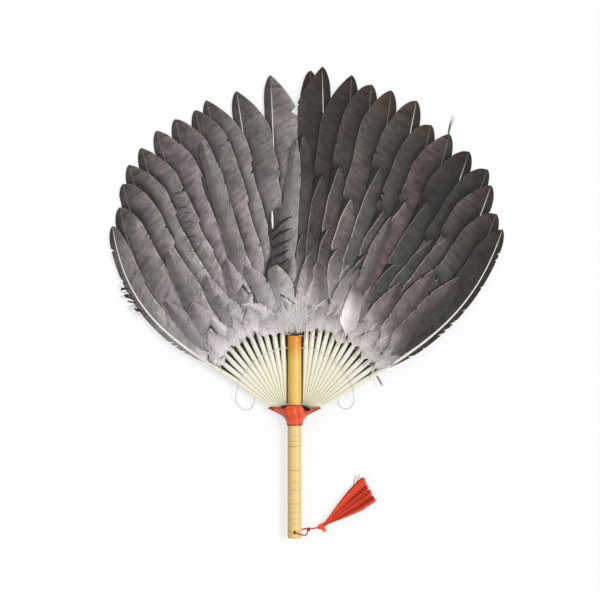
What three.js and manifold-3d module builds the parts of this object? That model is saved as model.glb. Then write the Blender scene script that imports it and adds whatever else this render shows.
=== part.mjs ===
// Feather hand fan: a bamboo rod with ringed grip, a thin flared collar, two halves of overlapping
// flight feathers whose pierced quills are spaced by one thread, short cover feathers, a thin lining
// behind the quills, and a tassel on a cord loop through the butt of the grip.
// Units are millimetres. The rod runs along Y with its butt at -Y, the feathers fan out towards +Y,
// and +Z is the front, so the fan lies on its back. The working origin is the middle of the thread's
// arc on the rod's axis, and the finished group is moved to the middle of its base at the end.
import * as THREE from "three";
import { mergeVertices } from "three/addons/utils/BufferGeometryUtils.js";
import Module from "manifold-3d";

const wasm = await Module();
wasm.setup();

// Fits
const SEAT_GAP = 0.3;
const CUT_OVERRUN = 2;

// Bamboo rod
const GRIP_RADIUS = 6.6;
const BUTT_Y = -125.1;
const ROD_ABOVE_THREAD = 11.3;
const BUTT_ROUNDING = 1.4;
const TOP_CHAMFER = 0.4;
const NODE_GROOVE_DEPTH = 0.3;
const NODE_RIDGE_HEIGHT = 0.18;
const NODE_HALF_WIDTH = 0.9;
const NODE_SHARES = [0.094, 0.138, 0.182, 0.395, 0.501, 0.572, 0.696, 0.772, 0.825, 0.868, 0.93];
const ROD_SIDES = 14;

// Flared collar
const COLLAR_BOTTOM_Y = -16.7;
const COLLAR_WALL = 0.8;
const COLLAR_HORN_Y = -0.4;
const COLLAR_FRONT_RISE = 3.6;
const COLLAR_HORN_REACH = 25.6;
const COLLAR_HALF_DEPTH = 8.7;
const COLLAR_HORN_POWER = 2.1;
const COLLAR_LEFT_DIP = 4.2;
const COLLAR_RIGHT_DIP = 6.6;
const COLLAR_HEIGHT_SHARES = [0, 0.2, 0.4, 0.58, 0.76, 0.9, 1];
const COLLAR_FLARE_SHARES = [0, 0.02, 0.1, 0.26, 0.55, 0.82, 1];
const COLLAR_SIDES = 28;
const GLUE_HEIGHT = 6;

// Quills
const ROOT_SIDE_OFFSET = 7.7;
const ROOT_Y = -6.7;
const ROOT_START = 9;
const QUILL_RADIUS = 2.15;
const VANE_START = 84;
const QUILL_BEND_LENGTH = 12;
const QUILL_SHARES = [0, 0.45, 1];

// Vanes
const LONGEST_FEATHER = 335.6;
const BROAD_VANE_WIDTH = 28;
const NARROW_VANE_WIDTH = 7.6;
const VANE_THICKNESS = 0.4;
const SHAFT_RADIUS = 1.8;
const SHAFT_TIP_RADIUS = 0.3;
const SHAFT_CROWN = 0.2;
const LAYER_STEP = 1;
const SEAM_X = 2.3;
const OUTLINE_SHRINK_SHARE = 0.235;
const DROOP_POWER = 1.6;
const RISE_SHARE = 0.3;
const NOTCH_WIDTH_SHARE = 0.74;
const NOTCH_RUN_SHARE = 0.025;
const BROAD_TIP_SHARE = 0.11;
const NARROW_TIP_SHARE = 0.045;
const BROAD_TIP_POWER = 0.85;
const NARROW_TIP_POWER = 0.6;
const VANE_STATION_SHARES = [0, 0.08, 0.2, 0.36, 0.82, 0.91, 0.965, 1];
const FLOAT_SHARE = 0.5;
const TIP_FLOAT_SHARE = 1.2;

// Each half of the fan. Angles are degrees from the rod towards the half's own side. Tip angles are
// shares of the last tip angle and lengths are shares of the longest feather.
const LEFT_HALF = {
  name: "left",
  side: -1,
  firstQuill: 3,
  lastQuill: 60,
  lastTip: 42.7,
  tipAngleShares: [0.063, 0.206, 0.335, 0.391, 0.485, 0.576, 0.67, 0.756, 0.827, 0.909, 1],
  lengthShares: [0.975, 0.939, 0.931, 0.912, 0.906, 0.896, 0.872, 0.847, 0.811, 0.763, 0.736],
  notchShares: [0.7, 0.62, 0.7, 0.55, 0.66, 0.74, 0.58, 0.7, 0.62, 0.56, 0.66],
};
const RIGHT_HALF = {
  name: "right",
  side: 1,
  firstQuill: 3,
  lastQuill: 65,
  lastTip: 47.2,
  tipAngleShares: [
    0.028, 0.068, 0.174, 0.25, 0.324, 0.422, 0.506, 0.585, 0.684, 0.784, 0.835, 0.932, 1,
  ],
  lengthShares: [
    0.987, 1, 0.984, 0.967, 0.964, 0.958, 0.909, 0.908, 0.893, 0.881, 0.851, 0.8, 0.781,
  ],
  notchShares: [0.72, 0.74, 0.6, 0.66, 0.54, 0.7, 0.58, 0.66, 0.73, 0.6, 0.69, 0.56, 0.64],
};

// Cover feathers, from the rod outwards, each with its quill laid along one flight feather's quill.
// A tip is a share of the longest feather from the root point, a tip angle is a share of the half's
// last tip angle, and a width is a share of the broad vane.
const COVER_START = 87;
const COVER_QUILL_LENGTH = 13;
const COVER_THICKNESS = 0.35;
const COVER_STEP = 1;
const COVER_SHAFT_RADIUS = 0.45;
const COVER_NARROW_SHARE = 0.45;
const COVER_BROAD_TIP_SHARE = 0.3;
const COVER_NARROW_TIP_SHARE = 0.16;
const COVER_BROAD_TIP_POWER = 0.7;
const COVER_SEAM_LAYERS = 2;
const COVER_STATION_SHARES = [0, 0.16, 0.5, 0.84, 0.95, 1];
const LEFT_COVERS = [
  { over: 0, tipShare: 0.79, tipAngleShare: -0.05, widthShare: 0.5 },
  { over: 2, tipShare: 0.386, tipAngleShare: 0.276, widthShare: 0.6 },
  { over: 3, tipShare: 0.82, tipAngleShare: 0.403, widthShare: 0.7 },
  { over: 4, tipShare: 0.475, tipAngleShare: 0.49, widthShare: 0.68 },
  { over: 6, tipShare: 0.461, tipAngleShare: 0.696, widthShare: 0.66 },
  { over: 8, tipShare: 0.58, tipAngleShare: 0.834, widthShare: 0.7 },
  { over: 10, tipShare: 0.475, tipAngleShare: 1.09, widthShare: 0.6 },
];
const RIGHT_COVERS = [
  { over: 0, tipShare: 0.456, tipAngleShare: 0.038, widthShare: 0.46 },
  { over: 4, tipShare: 0.451, tipAngleShare: 0.407, widthShare: 0.6 },
  { over: 5, tipShare: 0.62, tipAngleShare: 0.508, widthShare: 0.72 },
  { over: 8, tipShare: 0.469, tipAngleShare: 0.767, widthShare: 0.7 },
  { over: 9, tipShare: 0.361, tipAngleShare: 0.894, widthShare: 0.6 },
  { over: 10, tipShare: 0.558, tipAngleShare: 0.89, widthShare: 0.72 },
  { over: 12, tipShare: 0.598, tipAngleShare: 1.03, widthShare: 0.66 },
];

// Thread row through the quills and the rod, with a loop at each end
const THREAD_RADIUS = 0.45;
const THREAD_ARC_RADIUS = 58;
const THREAD_OVERHANG = 0.6;
const THREAD_STEPS = 38;
const THREAD_SIDES = 6;
const LOOP_RADIUS = 0.5;
const LOOP_STEPS = 17;
const LEFT_LOOP_ROUTE = [
  [-55.36, 17.26, 0],
  [-55.75, 16, -0.1],
  [-56.4, 13.6, -1],
  [-56.8, 10.6, -3],
  [-56.5, 7.4, -5.6],
  [-55.4, 4.2, -7.4],
  [-53.2, 1.2, -8.1],
  [-50.4, -1.1, -8.15],
  [-47.4, -2.3, -8.15],
  [-44.4, -2, -8.15],
  [-41.8, -0.3, -8],
  [-40, 2.2, -7.2],
  [-39, 4.8, -5.2],
  [-38.5, 7.4, -2.6],
  [-38.3, 9.2, -0.9],
  [-38.25, 10.4, -0.2],
];
const RIGHT_LOOP_ROUTE = [
  [56.6, 12.65, 0],
  [56.95, 11.4, -0.1],
  [57.3, 9.2, -1],
  [57.3, 6.6, -3],
  [56.6, 3.8, -5.6],
  [55.1, 1.3, -7.4],
  [52.8, -0.5, -8.1],
  [50, -1.3, -8.15],
  [47.2, -0.9, -8.15],
  [44.8, 0.5, -8],
  [43.1, 2.6, -7.2],
  [42.1, 4.8, -5.2],
  [41.6, 6.8, -2.6],
  [41.4, 8.2, -0.9],
  [41.35, 8.9, -0.2],
];

// Tassel on its cord loop. The route runs from the tassel's knot to the cord's own knot, over the
// front of the grip, down through the hole and back under the grip.
const CORD_HOLE_FROM_BUTT = 6.1;
const CORD_HOLE_RADIUS = 1.5;
const CORD_HOLE_SIDES = 12;
const CORD_RADIUS = 0.65;
const CORD_STEPS = 42;
const CORD_SIDES = 8;
const CORD_ROUTE = [
  [22.3, -115.3, -5.2],
  [19.4, -115.9, -5.3],
  [16.4, -116.3, -5],
  [13.6, -116.6, -4.5],
  [12.4, -118.6, -1.6],
  [11.5, -120.7, 2.4],
  [10.7, -121.5, 5.4],
  [9, -121.5, 7.3],
  [6.2, -120.7, 7.95],
  [3, -119.7, 8],
  [1, -119.15, 7.5],
  [0, -119, 5.8],
  [0, -119, 0],
  [0, -119, -5.8],
  [1, -118.9, -7.35],
  [3.2, -118.3, -7.75],
  [6.5, -117.3, -7.75],
  [9.6, -116.7, -7.6],
  [11.2, -116.4, -7],
];
const CORD_KNOT_CENTRE = [13.5, -116.7, -4.5];
const CORD_KNOT_RADIUS = 2;
const CORD_KNOT_FACETS = [12, 8];
const TASSEL_KNOT_CENTRE = [26, -114.4, -5.1];
const TASSEL_KNOT_RADIUS = 3.3;
const TASSEL_KNOT_FACETS = [16, 10];
const TASSEL_KNOT_SQUASH_SHARE = 0.86;
const TASSEL_TAIL_LENGTH = 5.4;
const TASSEL_TAIL_RADIUS = 1;
const TASSEL_TAIL_TURN = -56;
const SKIRT_LENGTH = 57;
const SKIRT_TURN = 38;
const SKIRT_HALF_WIDTH = 12.7;
const SKIRT_NECK_RADIUS = 1.9;
const SKIRT_HALF_DEPTH = 3.3;
const SKIRT_SLANT = 2.6;
const SKIRT_FLUTES = 13;
const SKIRT_FLUTE_SHARE = 0.16;
const SKIRT_LENGTH_SHARES = [0, 0.08, 0.2, 0.37, 0.65, 0.85, 1];
const SKIRT_WIDTH_SHARES = [0, 0.03, 0.2, 0.46, 0.82, 0.95, 1];

// Back lining
const LINING_THICKNESS = 0.5;
const LINING_START = 26;
const LINING_ABOVE_RIM = 0.6;
const LINING_END = 96;
const LINING_ARC_STEPS = 10;
const LINING_EDGE_STEPS = 3;

// Finishes
const FINISHES = {
  bamboo: { color: 0xdcb25a, roughness: 0.45, metalness: 0 },
  collar: { color: 0xe8431a, roughness: 0.25, metalness: 0 },
  glue: { color: 0xb08a4a, roughness: 0.4, metalness: 0 },
  leftFeather: { color: 0x8c8784, roughness: 0.8, metalness: 0 },
  rightFeather: { color: 0x5f5b58, roughness: 0.8, metalness: 0 },
  cover: { color: 0x9b9592, roughness: 0.85, metalness: 0 },
  lining: { color: 0x4a4838, roughness: 0.9, metalness: 0 },
  thread: { color: 0xf1f0ea, roughness: 0.6, metalness: 0 },
  tassel: { color: 0xe23a1f, roughness: 0.6, metalness: 0 },
};

const FLOOR_Z = -COLLAR_HALF_DEPTH;
const COLLAR_RING_RADIUS = GRIP_RADIUS + SEAT_GAP + COLLAR_WALL;
const THREAD_HOLE_RADIUS = THREAD_RADIUS + SEAT_GAP;
const SHEET_TOP_Z = QUILL_RADIUS - SHAFT_CROWN - VANE_THICKNESS / 2;
const SHEET_TIP_Z = FLOOR_Z + VANE_THICKNESS / 2 + LAYER_STEP * TIP_FLOAT_SHARE;
const CORD_HOLE_Y = BUTT_Y + CORD_HOLE_FROM_BUTT;
const ROD_TOP_Y = THREAD_ARC_RADIUS + ROD_ABOVE_THREAD;

const radians = THREE.MathUtils.degToRad;
const mix = THREE.MathUtils.lerp;
const fanGroup = new THREE.Group();
const freeNodes = [];

// Adds one named mesh to the fan. Free pieces hang or lie beside it and don't set its place.
function addPiece(name, geometry, finish, free = false) {
  const material = new THREE.MeshStandardMaterial(finish);
  const mesh = new THREE.Mesh(geometry, material);
  mesh.name = name;
  fanGroup.add(mesh);
  if (free) freeNodes.push(name);
  return mesh;
}

// Signed volume of a closed indexed mesh, positive when its faces point out.
function signedVolume(positions, indices) {
  const at = (i) => new THREE.Vector3().fromArray(positions, 3 * i);
  let sum = 0;
  for (let i = 0; i < indices.length; i += 3) {
    const [a, b, c] = [at(indices[i]), at(indices[i + 1]), at(indices[i + 2])];
    sum += a.dot(b.cross(c));
  }
  return sum;
}

// A BufferGeometry of points and triangles, turned so that its faces point out.
function closedGeometry(points, triangles) {
  const positions = points.flatMap((p) => [p.x, p.y, p.z]);
  const indices = [...triangles];
  if (signedVolume(positions, indices) < 0) indices.reverse();
  const geometry = new THREE.BufferGeometry();
  geometry.setAttribute("position", new THREE.Float32BufferAttribute(positions, 3));
  geometry.setIndex(indices);
  return geometry;
}

// Two triangles for each side between ring a and ring b, given by their first point's number.
function ringBand(first, second, count) {
  const band = [];
  for (let i = 0; i < count; i++) {
    const next = (i + 1) % count;
    band.push(first + i, first + next, second + next);
    band.push(first + i, second + next, second + i);
  }
  return band;
}

// A solid skinned over rings of equally many points, closed at both ends by a fan of triangles.
function loft(rings) {
  const count = rings[0].length;
  const points = rings.flat();
  const triangles = [];
  for (let r = 0; r + 1 < rings.length; r++) {
    triangles.push(...ringBand(r * count, (r + 1) * count, count));
  }
  const middle = (ring) =>
    ring.reduce((sum, p) => sum.add(p), new THREE.Vector3()).divideScalar(count);
  const startCentre = points.push(middle(rings[0])) - 1;
  const endCentre = points.push(middle(rings.at(-1))) - 1;
  const lastRing = (rings.length - 1) * count;
  for (let i = 0; i < count; i++) {
    const next = (i + 1) % count;
    triangles.push(startCentre, next, i);
    triangles.push(endCentre, lastRing + i, lastRing + next);
  }
  return closedGeometry(points, triangles);
}

// A thin-walled tube skinned over outer and inner rings, open at both ends. Both walls are split
// into triangles alike, so that a piece skinned over rings further in keeps its gap to them.
function openShell(outerRings, innerRings) {
  const count = outerRings[0].length;
  const inner = outerRings.length * count;
  const triangles = [];
  for (let r = 0; r + 1 < outerRings.length; r++) {
    const band = ringBand(r * count, (r + 1) * count, count);
    triangles.push(...band);
    triangles.push(...band.map((i) => i + inner).reverse());
  }
  const lastOuter = inner - count;
  triangles.push(...ringBand(inner, 0, count));
  triangles.push(...ringBand(lastOuter, lastOuter + inner, count));
  return closedGeometry([...outerRings, ...innerRings].flat(), triangles);
}

function toSolid(geometry) {
  const bare = geometry.clone();
  bare.deleteAttribute("normal");
  bare.deleteAttribute("uv");
  const merged = mergeVertices(bare, 1e-4);
  return new wasm.Manifold(
    new wasm.Mesh({
      numProp: 3,
      vertProperties: new Float32Array(merged.attributes.position.array),
      triVerts: new Uint32Array(merged.index.array),
    }),
  );
}

function fromSolid(solid) {
  const mesh = solid.getMesh();
  const geometry = new THREE.BufferGeometry();
  geometry.setAttribute("position", new THREE.Float32BufferAttribute(mesh.vertProperties, 3));
  geometry.setIndex([...mesh.triVerts]);
  return geometry;
}

// A round tube along a curve.
function tubeAlong(curve, radius, steps, sides) {
  const section = new THREE.Shape();
  for (let i = 0; i < sides; i++) {
    const turn = (2 * Math.PI * i) / sides;
    const [x, y] = [radius * Math.cos(turn), radius * Math.sin(turn)];
    if (i === 0) section.moveTo(x, y);
    else section.lineTo(x, y);
  }
  section.closePath();
  return new THREE.ExtrudeGeometry(section, { steps, extrudePath: curve, bevelEnabled: false });
}

// A smooth curve through a route's points.
function routeCurve(route) {
  const points = route.map(([x, y, z]) => new THREE.Vector3(x, y, z));
  return new THREE.CatmullRomCurve3(points, false, "centripetal");
}

// The thread's arc, from one angle about the origin to another, in degrees from +Y towards +X.
class ThreadArc extends THREE.Curve {
  constructor(from, to) {
    super();
    this.from = radians(from);
    this.to = radians(to);
  }
  getPoint(t, target = new THREE.Vector3()) {
    const angle = mix(this.from, this.to, t);
    return target.set(THREAD_ARC_RADIUS * Math.sin(angle), THREAD_ARC_RADIUS * Math.cos(angle), 0);
  }
}

// One half of the fan: where each quill and shaft runs, and how high the sheet of feathers lies.
// Feather k lies one layer step above feather k - 1 wherever both cover the same place, so the
// feathers are shingled with the outermost one on top and never meet.
class FanHalf {
  constructor(sizes) {
    Object.assign(this, sizes);
    this.count = sizes.tipAngleShares.length;
    this.quillPitch = radians(sizes.lastQuill - sizes.firstQuill) / (this.count - 1);
    this.lastLength = LONGEST_FEATHER * sizes.lengthShares.at(-1);
    this.seam = sizes.side * SEAM_X + SEAT_GAP;
  }

  quillAngle(k) {
    return radians(this.firstQuill) + this.quillPitch * k;
  }

  tipAngle(k) {
    return radians(this.lastTip * this.tipAngleShares[k]);
  }

  length(k) {
    return LONGEST_FEATHER * this.lengthShares[k];
  }

  // Angle of shaft k at a distance from the root point: it bends evenly towards the rod.
  shaftAngle(k, distance) {
    return mix(this.quillAngle(k), this.tipAngle(k), distance / this.length(k));
  }

  // A place in the half's own plane, with x positive on its own side.
  place(distance, angle) {
    return {
      x: ROOT_SIDE_OFFSET + distance * Math.sin(angle),
      y: ROOT_Y + distance * Math.cos(angle),
    };
  }

  // Direction of shaft k at a distance.
  heading(k, distance) {
    const bend = (this.tipAngle(k) - this.quillAngle(k)) / this.length(k);
    return this.shaftAngle(k, distance) + Math.atan(distance * bend);
  }

  polar(x, y) {
    const [dx, dy] = [x - ROOT_SIDE_OFFSET, y - ROOT_Y];
    return { distance: Math.hypot(dx, dy), angle: Math.atan2(dx, dy) };
  }

  innerAngle(distance) {
    return mix(this.quillAngle(0), this.tipAngle(0), distance / this.length(0));
  }

  // Mean angle between neighbouring shafts at a distance.
  pitchAngle(distance) {
    const outer = mix(
      this.quillAngle(this.count - 1),
      this.tipAngle(this.count - 1),
      distance / this.lastLength,
    );
    return (outer - this.innerAngle(distance)) / (this.count - 1);
  }

  // Which feather's even place this is, as a number that runs on between them.
  order(x, y) {
    const { distance, angle } = this.polar(x, y);
    return (angle - this.innerAngle(distance)) / this.pitchAngle(distance);
  }

  // Height of the sheet: level over the quills, drooping to the floor at the fan's outline.
  sheetHeight(x, y) {
    const { distance, angle } = this.polar(x, y);
    const spread = angle / radians(this.lastTip);
    const outline = LONGEST_FEATHER * (1 - OUTLINE_SHRINK_SHARE * Math.min(spread * spread, 1));
    const along = Math.max(0, (distance - VANE_START) / (outline - VANE_START));
    return mix(SHEET_TOP_Z, SHEET_TIP_Z, Math.min(along, 1) ** DROOP_POWER);
  }

  layerHeight(k, x, y) {
    return this.sheetHeight(x, y) + LAYER_STEP * (k - this.order(x, y));
  }

  // How far the pile of flight feathers stands above the sheet.
  pileHeight(x, y) {
    const { distance } = this.polar(x, y);
    const share = riseShare((distance - VANE_START) / (this.lastLength - VANE_START));
    const layers = (BROAD_VANE_WIDTH * share) / (distance * this.pitchAngle(distance));
    return LAYER_STEP * (layers + FLOAT_SHARE) + SHAFT_CROWN + VANE_THICKNESS / 2;
  }

  // Distance between shafts k and k + 1, square to shaft k.
  pitch(k, distance) {
    const apart = this.shaftAngle(k + 1, distance) - this.shaftAngle(k, distance);
    const lean = this.heading(k, distance) - this.shaftAngle(k, distance);
    return distance * Math.sin(apart) * Math.cos(lean);
  }

  // Radius of quill k, thinned where the quills crowd together towards the root point.
  quillRadius(k, distance) {
    const inner = k > 0 ? this.pitch(k - 1, distance) : Infinity;
    const outer = k + 1 < this.count ? this.pitch(k, distance) : Infinity;
    return Math.min(QUILL_RADIUS, (Math.min(inner, outer) - SEAT_GAP) / 2);
  }

  toWorld(x, y, z) {
    return new THREE.Vector3(this.side * x, y, z);
  }
}

// Share of the full vane width at a share of the vane's length, from the quill end.
function riseShare(along) {
  return Math.sin((Math.PI / 2) * THREE.MathUtils.clamp(along / RISE_SHARE, 0, 1));
}

function broadShare(along, notch) {
  const afterNotch = THREE.MathUtils.clamp((along - notch) / NOTCH_RUN_SHARE, 0, 1);
  const tip = Math.min(1, (1 - along) / BROAD_TIP_SHARE) ** BROAD_TIP_POWER;
  return riseShare(along) * mix(1, NOTCH_WIDTH_SHARE, afterNotch) * tip;
}

function narrowShare(along) {
  const tip = Math.min(1, (1 - along) / NARROW_TIP_SHARE) ** NARROW_TIP_POWER;
  return riseShare(along) * tip;
}

// One ring of ten points across a feather: the thin broad vane on the inner side, the shaft with
// its crown and keel, and the thin narrow vane on the outer side.
function vaneRing(half, height, centre, heading, sizes) {
  const { broad, narrow, shaft, thickness } = sizes;
  const across = { x: Math.cos(heading), y: -Math.sin(heading) };
  const crown = Math.min(SHAFT_CROWN, shaft);
  const keel = Math.max(2 * shaft - crown - thickness, thickness / 2);
  const point = (offset, rise) => {
    const x = centre.x + across.x * offset;
    const y = centre.y + across.y * offset;
    return half.toWorld(x, y, height(x, y) + rise);
  };
  const top = thickness / 2;
  return [
    point(narrow, top),
    point(shaft, top),
    point(0, top + crown),
    point(-shaft, top),
    point(-broad, top),
    point(-broad, -top),
    point(-shaft, -top),
    point(0, -top - keel),
    point(shaft, -top),
    point(narrow, -top),
  ];
}

// One ring of ten points round a bare quill, in the same order as a vane ring.
function quillRing(half, centre, heading, radius, height = 0) {
  const turns = [8, 45, 90, 135, 172, 188, 225, 270, 315, 352];
  return turns.map((turn) => {
    const offset = radius * Math.cos(radians(turn));
    const x = centre.x + Math.cos(heading) * offset;
    const y = centre.y - Math.sin(heading) * offset;
    return half.toWorld(x, y, height + radius * Math.sin(radians(turn)));
  });
}

// Widest narrow vane that stays clear of the next shaft outwards.
function roomOutside(half, k, distance) {
  if (k + 1 >= half.count) return NARROW_VANE_WIDTH;
  return Math.min(NARROW_VANE_WIDTH, half.pitch(k, distance) - SHAFT_RADIUS - SEAT_GAP);
}

// Widest broad vane that stays on the half's own side of the seam between the halves.
function roomInside(half, centre, heading) {
  return Math.min(BROAD_VANE_WIDTH, (centre.x - half.seam) / Math.cos(heading));
}

function flightFeather(half, k) {
  const length = half.length(k);
  const quillEnd = VANE_START - QUILL_BEND_LENGTH;
  const rings = QUILL_SHARES.map((share) => {
    const distance = mix(ROOT_START, quillEnd, share);
    const centre = half.place(distance, half.shaftAngle(k, distance));
    return quillRing(half, centre, half.heading(k, distance), half.quillRadius(k, distance));
  });
  const notch = half.notchShares[k];
  const stations = [...VANE_STATION_SHARES, notch, notch + NOTCH_RUN_SHARE].sort((a, b) => a - b);
  const height = (x, y) => half.layerHeight(k, x, y);
  for (const along of stations) {
    const distance = mix(VANE_START, length, along);
    const heading = half.heading(k, distance);
    const centre = half.place(distance, half.shaftAngle(k, distance));
    const shaft = mix(SHAFT_RADIUS, SHAFT_TIP_RADIUS, along);
    const broadRoom = roomInside(half, centre, heading);
    const narrowRoom = roomOutside(half, k, distance);
    const sizes = {
      shaft,
      thickness: VANE_THICKNESS,
      broad: shaft + Math.max(broadRoom - shaft, 0) * broadShare(along, notch),
      narrow: shaft + Math.max(narrowRoom - shaft, 0) * narrowShare(along),
    };
    sizes.broad = Math.max(sizes.broad, shaft + SHAFT_TIP_RADIUS);
    sizes.narrow = Math.max(sizes.narrow, shaft + SHAFT_TIP_RADIUS);
    rings.push(vaneRing(half, height, centre, heading, sizes));
  }
  return loft(rings);
}

// Height of the middle of a cover feather's sheet: above the pile of both halves, shingled with
// the outermost cover on top. The right half's covers lie over the left half's at the seam.
function coverHeight(halves, half, index, count) {
  const keel = 2 * COVER_SHAFT_RADIUS - SHAFT_CROWN - COVER_THICKNESS / 2;
  const lift = SEAT_GAP + keel + COVER_STEP * FLOAT_SHARE;
  const layer = index + halves.indexOf(half) * COVER_SEAM_LAYERS;
  return (x, y) => {
    const tops = halves.map((other) => {
      const ownX = other === half ? x : -x;
      return other.sheetHeight(ownX, y) + other.pileHeight(ownX, y);
    });
    const { angle } = half.polar(x, y);
    const order = ((count - 1) * angle) / radians(half.lastTip);
    return Math.max(...tops) + lift + COVER_STEP * (layer - order);
  };
}

function coverFeather(halves, half, covers, index) {
  const cover = covers[index];
  const length = LONGEST_FEATHER * cover.tipShare;
  const startAngle = half.shaftAngle(cover.over, COVER_START);
  const tipAngle = radians(half.lastTip * cover.tipAngleShare);
  const bend = (tipAngle - startAngle) / (length - COVER_START);
  const height = coverHeight(halves, half, index, covers.length);
  const quillDistance = COVER_START - COVER_QUILL_LENGTH;
  const quillPlace = half.place(quillDistance, half.shaftAngle(cover.over, quillDistance));
  const quillHeight = QUILL_RADIUS + SEAT_GAP + COVER_SHAFT_RADIUS;
  const rings = [quillRing(half, quillPlace, startAngle, COVER_SHAFT_RADIUS, quillHeight)];
  for (const along of COVER_STATION_SHARES) {
    const distance = mix(COVER_START, length, along);
    const angle = mix(startAngle, tipAngle, along);
    const heading = angle + Math.atan(distance * bend);
    const shaft = mix(COVER_SHAFT_RADIUS, SHAFT_TIP_RADIUS, along);
    const width = BROAD_VANE_WIDTH * cover.widthShare * riseShare(along);
    const broadTip = Math.min(1, (1 - along) / COVER_BROAD_TIP_SHARE) ** COVER_BROAD_TIP_POWER;
    const narrowTip = Math.min(1, (1 - along) / COVER_NARROW_TIP_SHARE) ** NARROW_TIP_POWER;
    const sizes = {
      shaft,
      thickness: COVER_THICKNESS,
      broad: shaft + SHAFT_TIP_RADIUS + width * broadTip,
      narrow: shaft + SHAFT_TIP_RADIUS + width * COVER_NARROW_SHARE * narrowTip,
    };
    rings.push(vaneRing(half, height, half.place(distance, angle), heading, sizes));
  }
  return loft(rings);
}

// One half of the lining's outline, in the half's own plane: down along the rod's slot to just
// above the collar's rim, out to the outermost quill, up along it, and back round the outer arc.
function liningOutline(half) {
  const slot = GRIP_RADIUS + SEAT_GAP;
  const foot = COLLAR_HORN_Y + COLLAR_FRONT_RISE + LINING_ABOVE_RIM;
  const last = (distance) => half.shaftAngle(half.count - 1, distance);
  const middle = Math.asin(-ROOT_SIDE_OFFSET / LINING_END);
  const points = [
    { x: slot, y: ROD_TOP_Y + SEAT_GAP },
    { x: slot, y: foot },
  ];
  for (let i = 0; i < LINING_EDGE_STEPS; i++) {
    const distance = mix(LINING_START, LINING_END, i / LINING_EDGE_STEPS);
    points.push(half.place(distance, last(distance)));
  }
  for (let i = 0; i <= LINING_ARC_STEPS; i++) {
    const angle = mix(last(LINING_END), middle, i / LINING_ARC_STEPS);
    points.push(half.place(LINING_END, angle));
  }
  return points.map(({ x, y }) => new THREE.Vector2(half.side * x, y));
}

// The thin dark lining behind the quills of both halves, as one sheet with a slot for the rod.
function backLining(left, right) {
  const leftPoints = liningOutline(left).reverse().slice(1);
  const outline = new THREE.Shape([...liningOutline(right), ...leftPoints]);
  const settings = { depth: LINING_THICKNESS, bevelEnabled: false };
  const sheet = new THREE.ExtrudeGeometry(outline, settings);
  return sheet.translate(0, 0, -QUILL_RADIUS - SEAT_GAP - LINING_THICKNESS);
}

// Angle about the origin at which the thread's arc crosses a straight quill.
function threadCrossing(half, k) {
  const angle = half.quillAngle(k);
  const along = ROOT_SIDE_OFFSET * Math.sin(angle) + ROOT_Y * Math.cos(angle);
  const rootSquared = ROOT_SIDE_OFFSET ** 2 + ROOT_Y ** 2;
  const distance = -along + Math.sqrt(along ** 2 - rootSquared + THREAD_ARC_RADIUS ** 2);
  const { x, y } = half.place(distance, angle);
  return THREE.MathUtils.radToDeg(Math.atan2(x, y));
}

function threadEnd(half) {
  const reach = (QUILL_RADIUS + THREAD_OVERHANG) / THREAD_ARC_RADIUS;
  return threadCrossing(half, half.count - 1) + THREE.MathUtils.radToDeg(reach);
}

function threadTube(left, right, radius, overrun) {
  const extra = THREE.MathUtils.radToDeg(overrun / THREAD_ARC_RADIUS);
  const arc = new ThreadArc(-threadEnd(left) - extra, threadEnd(right) + extra);
  return tubeAlong(arc, radius, THREAD_STEPS, THREAD_SIDES);
}

// Radius profile of the rod from butt to sawn top, with a ridge and a groove at each bamboo node.
function rodProfile() {
  const points = [new THREE.Vector2(0, BUTT_Y)];
  const roundingTurns = [0, 45, 90];
  for (const turn of roundingTurns) {
    const radius = GRIP_RADIUS - BUTT_ROUNDING * (1 - Math.sin(radians(turn)));
    const y = BUTT_Y + BUTT_ROUNDING * (1 - Math.cos(radians(turn)));
    points.push(new THREE.Vector2(radius, y));
  }
  const nodes = NODE_SHARES.map((share) => mix(COLLAR_BOTTOM_Y, BUTT_Y, share)).reverse();
  for (const y of nodes) {
    points.push(new THREE.Vector2(GRIP_RADIUS, y - NODE_HALF_WIDTH));
    points.push(new THREE.Vector2(GRIP_RADIUS - NODE_GROOVE_DEPTH, y));
    points.push(new THREE.Vector2(GRIP_RADIUS + NODE_RIDGE_HEIGHT, y + NODE_HALF_WIDTH));
  }
  points.push(new THREE.Vector2(GRIP_RADIUS, COLLAR_BOTTOM_Y));
  points.push(new THREE.Vector2(GRIP_RADIUS, ROD_TOP_Y - TOP_CHAMFER));
  points.push(new THREE.Vector2(GRIP_RADIUS - TOP_CHAMFER, ROD_TOP_Y));
  points.push(new THREE.Vector2(0, ROD_TOP_Y));
  return points;
}

function bambooRod(threadHole) {
  const rod = toSolid(new THREE.LatheGeometry(rodProfile(), ROD_SIDES));
  const drillLength = 2 * (GRIP_RADIUS + CUT_OVERRUN);
  const drill = new THREE.CylinderGeometry(
    CORD_HOLE_RADIUS,
    CORD_HOLE_RADIUS,
    drillLength,
    CORD_HOLE_SIDES,
  );
  drill.rotateX(Math.PI / 2).translate(0, CORD_HOLE_Y, 0);
  return fromSolid(rod.subtract(toSolid(drill)).subtract(threadHole));
}

// How far the collar's front rim dips between the rod and a horn, where the mouth stands open.
function frontDip(turn) {
  const [cosine, sine] = [Math.cos(turn), Math.sin(turn)];
  if (sine <= 0) return 0;
  const rodShare = (GRIP_RADIUS + SEAT_GAP) / COLLAR_HORN_REACH;
  const fromHorn = Math.min((1 - Math.abs(cosine)) / (1 - rodShare), 1);
  const dip = cosine < 0 ? COLLAR_LEFT_DIP : COLLAR_RIGHT_DIP;
  return dip * Math.sin(Math.PI * fromHorn * fromHorn);
}

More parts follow.
